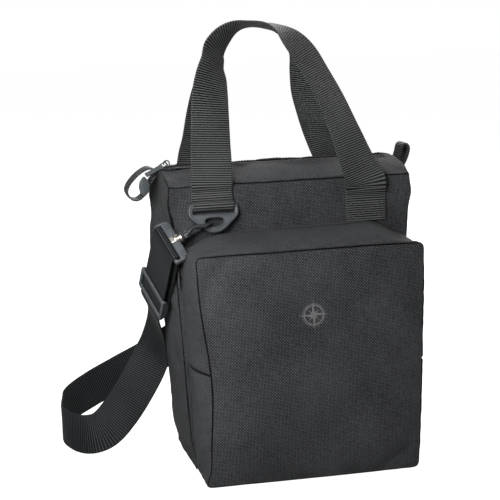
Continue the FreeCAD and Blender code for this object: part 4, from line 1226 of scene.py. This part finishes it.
def pocket_slider(name, side, height, swing):
    """A slider on the pocket's zip at a height (mm), its pull hanging and swung out."""
    half = (POCKET_BASE_HALF + (POCKET_HALF - POCKET_BASE_HALF) * height * MM / POCKET_TOP) / MM
    chain_y = (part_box("pocket_zip_chain_rear")[1].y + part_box("pocket_zip_chain_front")[0].y) / 2 / MM
    lean = np.array([side * math.sin(POCKET_LEAN), 0, math.cos(POCKET_LEAN)])
    outward = np.array([side * lean[2], 0, -abs(lean[0])])
    origin = np.array([side * (half - 1.05), chain_y, height])
    axes = np.array([-lean, -np.cross(-lean, outward), outward])
    slider("pocket_slider_" + name, 9.5, 7, 0.6, axes, origin)
    eye = np.array([BRIDGE_SHIFT, 0, BRIDGE_RISE]) @ axes + origin
    pull("pocket_pull_" + name, "pocket_pull_" + name, 20, 5.4, DARK_METAL,
         frame_along((swing, -0.2, -1), outward), eye)


top_slider()
pocket_slider("left", -1, 200, -0.05)
pocket_slider("right", 1, 121, 0.35)


# ================================================================ stitching
def surface(*names):
    """The named pieces as one surface that lines can be laid on."""
    meshes = [PIECES[name].data for name in names]
    points, faces = merge([(np.array([v.co[:] for v in mesh.vertices]), [p.vertices for p in mesh.polygons])
                           for mesh in meshes])
    return BVHTree.FromPolygons(points.tolist(), faces)


def laid(tree, points, direction, lift):
    """Points cast along a direction onto a surface, lifted off it, with the surface's normals."""
    direction = Vector(direction).normalized()
    found = []
    for point in points:
        hit, normal, _, _ = tree.ray_cast(Vector(point) - direction * 0.03, direction, 0.08)
        if hit is not None:
            normal = normal if normal.dot(direction) < 0 else -normal
            found.append((np.array(hit + normal * lift), np.array(normal)))
    return found


STITCH_SIDES = 6
STITCH_RINGS = ((-0.5, 0.35), (-0.36, 1.0), (0.36, 1.0), (0.5, 0.35))


def stitches(lines, tree, direction, pitch, length, gauge):
    """The points of thread stitches laid on a surface along lines, each line a list of corners."""
    shares, widths = (np.array(column)[:, None, None] for column in zip(*STITCH_RINGS))
    angle = np.arange(STITCH_SIDES)[:, None] * 2 * math.pi / STITCH_SIDES
    found = []
    for line in lines:
        line = np.asarray(line, float)
        for start, end in zip(line[:-1], line[1:]):
            count = max(1, int(np.linalg.norm(end - start) / pitch))
            places = [start + (end - start) * (k + 0.5) / count for k in range(count)]
            for place, normal in laid(tree, places, direction, gauge * 0.25):
                side = unit(np.cross(normal, end - start))
                forward = np.cross(side, normal)
                circle = (side * np.cos(angle) + normal * np.sin(angle))[None]
                found.append((place + forward * shares * length + circle * widths * gauge).reshape(-1, 3))
    return found


def stitch_piece(name, rows, pitch=3.0 * MM, length=2.3 * MM, gauge=0.33 * MM):
    """One piece of thread from rows, each (surface, direction, lines)."""
    found = [points for tree, direction, lines in rows
             for points in stitches(lines, tree, direction, pitch, length, gauge)]
    shape = tube_faces(len(STITCH_RINGS), STITCH_SIDES)
    thing = join(name, [(points, shape) for points in found], welded=False)
    return dress(thing, THREAD, "bag", "webbing")


def sewn_lines():
    """Thread along both sides of the top zip and along the rear edge of the pocket's upper gusset."""
    roof_tree = surface("top_strip_front", "top_strip_rear", "zip_end_left", "zip_end_right")
    lines = [[(end, sign * (ZIP_HALF + out), RIDGE_Z) for end in (-ZIP_REACH, ZIP_REACH)]
             for sign in (-1, 1) for out in (2.4 * MM, 6.0 * MM)]
    stitch_piece("top_stitching", [(roof_tree, (0, 0, -1), lines)])
    lid = surface("pocket_gusset_upper")
    rear = ZIP_FRONT_Y - 2.2 * MM
    rows = [(lid, (0, 0, -1), [[(x * MM, rear, POCKET_TOP) for x in (-100, 100)]])]
    for sign in (-1, 1):
        rows.append((lid, (-sign, 0, 0), [[(sign * 120 * MM, rear, z * MM) for z in (112, 210)]]))
    stitch_piece("pocket_stitching", rows)


def webbing_stitches():
    """A crossed box over each handle's anchor and two rows across each ring leg."""
    half, low, high = 17 * MM, 239 * MM, 254.5 * MM
    for label, side in SIDES:
        tree = surface(label + "_handle", label + "_ring_leg")
        y = side * 60 * MM
        x = -side * ANCHOR_X * MM
        box = [(x - half, y, low), (x + half, y, low), (x + half, y, high), (x - half, y, high)]
        lines = [box + box[:1], box[::2], box[::-2]]
        x = side * RING_X * MM
        lines += [[(x - half, y, z * MM), (x + half, y, z * MM)] for z in (266.2, 269.4)]
        stitch_piece(label + "_web_stitching", [(tree, (0, -side, 0), lines)], length=2.0 * MM,
                     pitch=2.7 * MM)


sewn_lines()
webbing_stitches()


# ================================================================ printed emblem
PRINT_GAUGE = 0.12 * MM
EMBLEM_CENTRE = np.array([2 * MM, 161 * MM])


def emblem():
    """A plain compass rose printed on the pocket: two rings, four long points and four short ones."""
    tree = surface("pocket_front_panel")
    strips = []

    def add(left, right):
        """A strip between two curves; points that meet become one, so no face has a zero side."""
        points, index = np.unique(np.stack([left, right], 1).reshape(-1, 2).round(9), axis=0,
                                  return_inverse=True)
        quads = [index.ravel()[[a, a + 1, a + 3, a + 2]].tolist() for a in range(0, index.size - 2, 2)]
        strips.append((points, [list(dict.fromkeys(quad)) for quad in quads]))

    def direction(angle):
        return np.stack([np.cos(angle), np.sin(angle)], -1)

    for inner, outer in ((8.6, 9.6), (10.4, 10.8)):
        circle = direction(np.linspace(0, 2 * math.pi, 72)) * MM
        add(circle * inner, circle * outer)
    for k in range(8):
        angle = k * math.pi / 4 + math.pi / 2
        length, waist_length = (7.6, 2.1) if k % 2 else (14.5, 3.0)
        tip = direction(angle) * length * MM
        for turn, fill in ((-1, 0.35), (1, 1)):
            waist = direction(angle + turn * 0.55) * waist_length * MM
            gap = direction(angle + math.pi / 2) * PRINT_GAUGE * turn
            t = np.linspace(0, 1, 9)[:, None]
            ridge = gap + tip * t
            flank = np.where(t < 0.25, waist * t / 0.25, waist + (tip - waist) * (t - 0.25) / 0.75)
            add(ridge, ridge + (gap + flank - ridge) * fill)
    points, faces = merge(strips)
    lifted = []
    for x, z in points + EMBLEM_CENTRE:
        hit = tree.ray_cast(Vector((x, POCKET_FRONT - 0.03, z)), Vector((0, 1, 0)), 0.08)[0]
        lifted.append(np.array(hit) + (0, -PRINT_GAUGE, 0))
    thing = link_mesh("pocket_emblem", lifted, faces)
    settle(thing, ("SOLIDIFY", {"thickness": PRINT_GAUGE, "offset": 0}))
    dress(thing, PRINT, "bag", "body_fabric")


emblem()

# ================================================================ inner pieces keep their CAD shape
INNER = {"base_board": BOARD, "foam_front": FOAM, "foam_back": FOAM, "foam_left": FOAM, "foam_right": FOAM,
         "lining": LINING}
for node_name, inner_finish in INNER.items():
    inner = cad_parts[node_name]
    inner.data.materials.clear()
    inner.data.materials.append(inner_finish.material)


# ================================================================ stage, light and camera
def by_ray(tree, to_camera, to_others):
    """A value that is one number for camera rays and another for all other rays."""
    value = tree.nodes.new("ShaderNodeMapRange")
    value.inputs["To Min"].default_value = to_others
    value.inputs["To Max"].default_value = to_camera
    rays = tree.nodes.new("ShaderNodeLightPath")
    tree.links.new(rays.outputs["Is Camera Ray"], value.inputs["Value"])
    return value.outputs[0]


# name, place, width (m) and power (W) of each area lamp
LAMPS = (("key", (-0.34, -0.48, 0.46), 0.3, 4.6), ("front", (-0.5, -2.0, 0.9), 1.0, 1.0),
         ("back", (0.6, 1.7, 1.2), 1.4, 34), ("right", (1.9, 0.5, 0.9), 1.2, 22),
         ("top", (-0.2, -0.2, 2.4), 1.4, 6))


def stage():
    """A white floor and surround that light the object only a little, and five lamps that light it."""
    corners = [(x * 8, y * 8, -0.4 * MM) for x, y in ((-1, -1), (1, -1), (1, 1), (-1, 1))]
    floor = link_mesh("floor", corners, [(0, 1, 2, 3)])
    paint = Finish("floor_paint", (0.4, 0.4, 0.4), (0.44, 0.44, 0.44))
    paint.wire(paint.noise(0.5, 2), rough=0.8)
    paint.shader.inputs["Specular IOR Level"].default_value = 0.1
    paint.shader.inputs["Emission Color"].default_value = (1, 1, 1, 1)
    paint.link(by_ray(paint.tree, 0.97, 0), paint.shader.inputs["Emission Strength"])
    floor.data.materials.append(paint.material)
    world = bpy.data.worlds.new("studio")
    bpy.context.scene.world = world
    world.use_nodes = True
    tree = world.node_tree
    background = tree.nodes["Background"]
    background.inputs["Color"].default_value = (1, 1, 1, 1)
    tree.links.new(by_ray(tree, 1, 0.05), background.inputs["Strength"])
    for name, place, width, power in LAMPS:
        light = bpy.data.lights.new(name, "AREA")
        light.size = width
        light.energy = power
        lamp = bpy.data.objects.new(name, light)
        lamp.location = place
        lamp.visible_camera = False
        lamp.rotation_mode = "QUATERNION"
        lamp.rotation_quaternion = (Vector(place) - Vector((0, 0, 0.2))).to_track_quat("Z", "Y")
        bpy.context.scene.collection.objects.link(lamp)


def camera():
    """The camera, fitted to the photo."""
    azimuth, elevation, roll = math.radians(-12.16), math.radians(9.87), math.radians(-1.85)
    target, distance = Vector((-0.0419, -0.050, 0.2142)), 1.452
    back = Vector((math.sin(azimuth) * math.cos(elevation), -math.cos(azimuth) * math.cos(elevation),
                   math.sin(elevation)))
    right = Vector((math.cos(azimuth), math.sin(azimuth), 0))
    up = back.cross(right)
    lens = bpy.data.cameras.new("camera")
    lens.lens = 108.3
    lens.sensor_width = 36
    eye = bpy.data.objects.new("camera", lens)
    turn = Matrix((right, up, back)).transposed() @ Matrix.Rotation(roll, 3, "Z")
    eye.matrix_world = Matrix.Translation(target + back * distance) @ turn.to_4x4()
    bpy.context.scene.collection.objects.link(eye)
    bpy.context.scene.camera = eye


stage()
camera()
bpy.context.scene.view_settings.view_transform = "Standard"
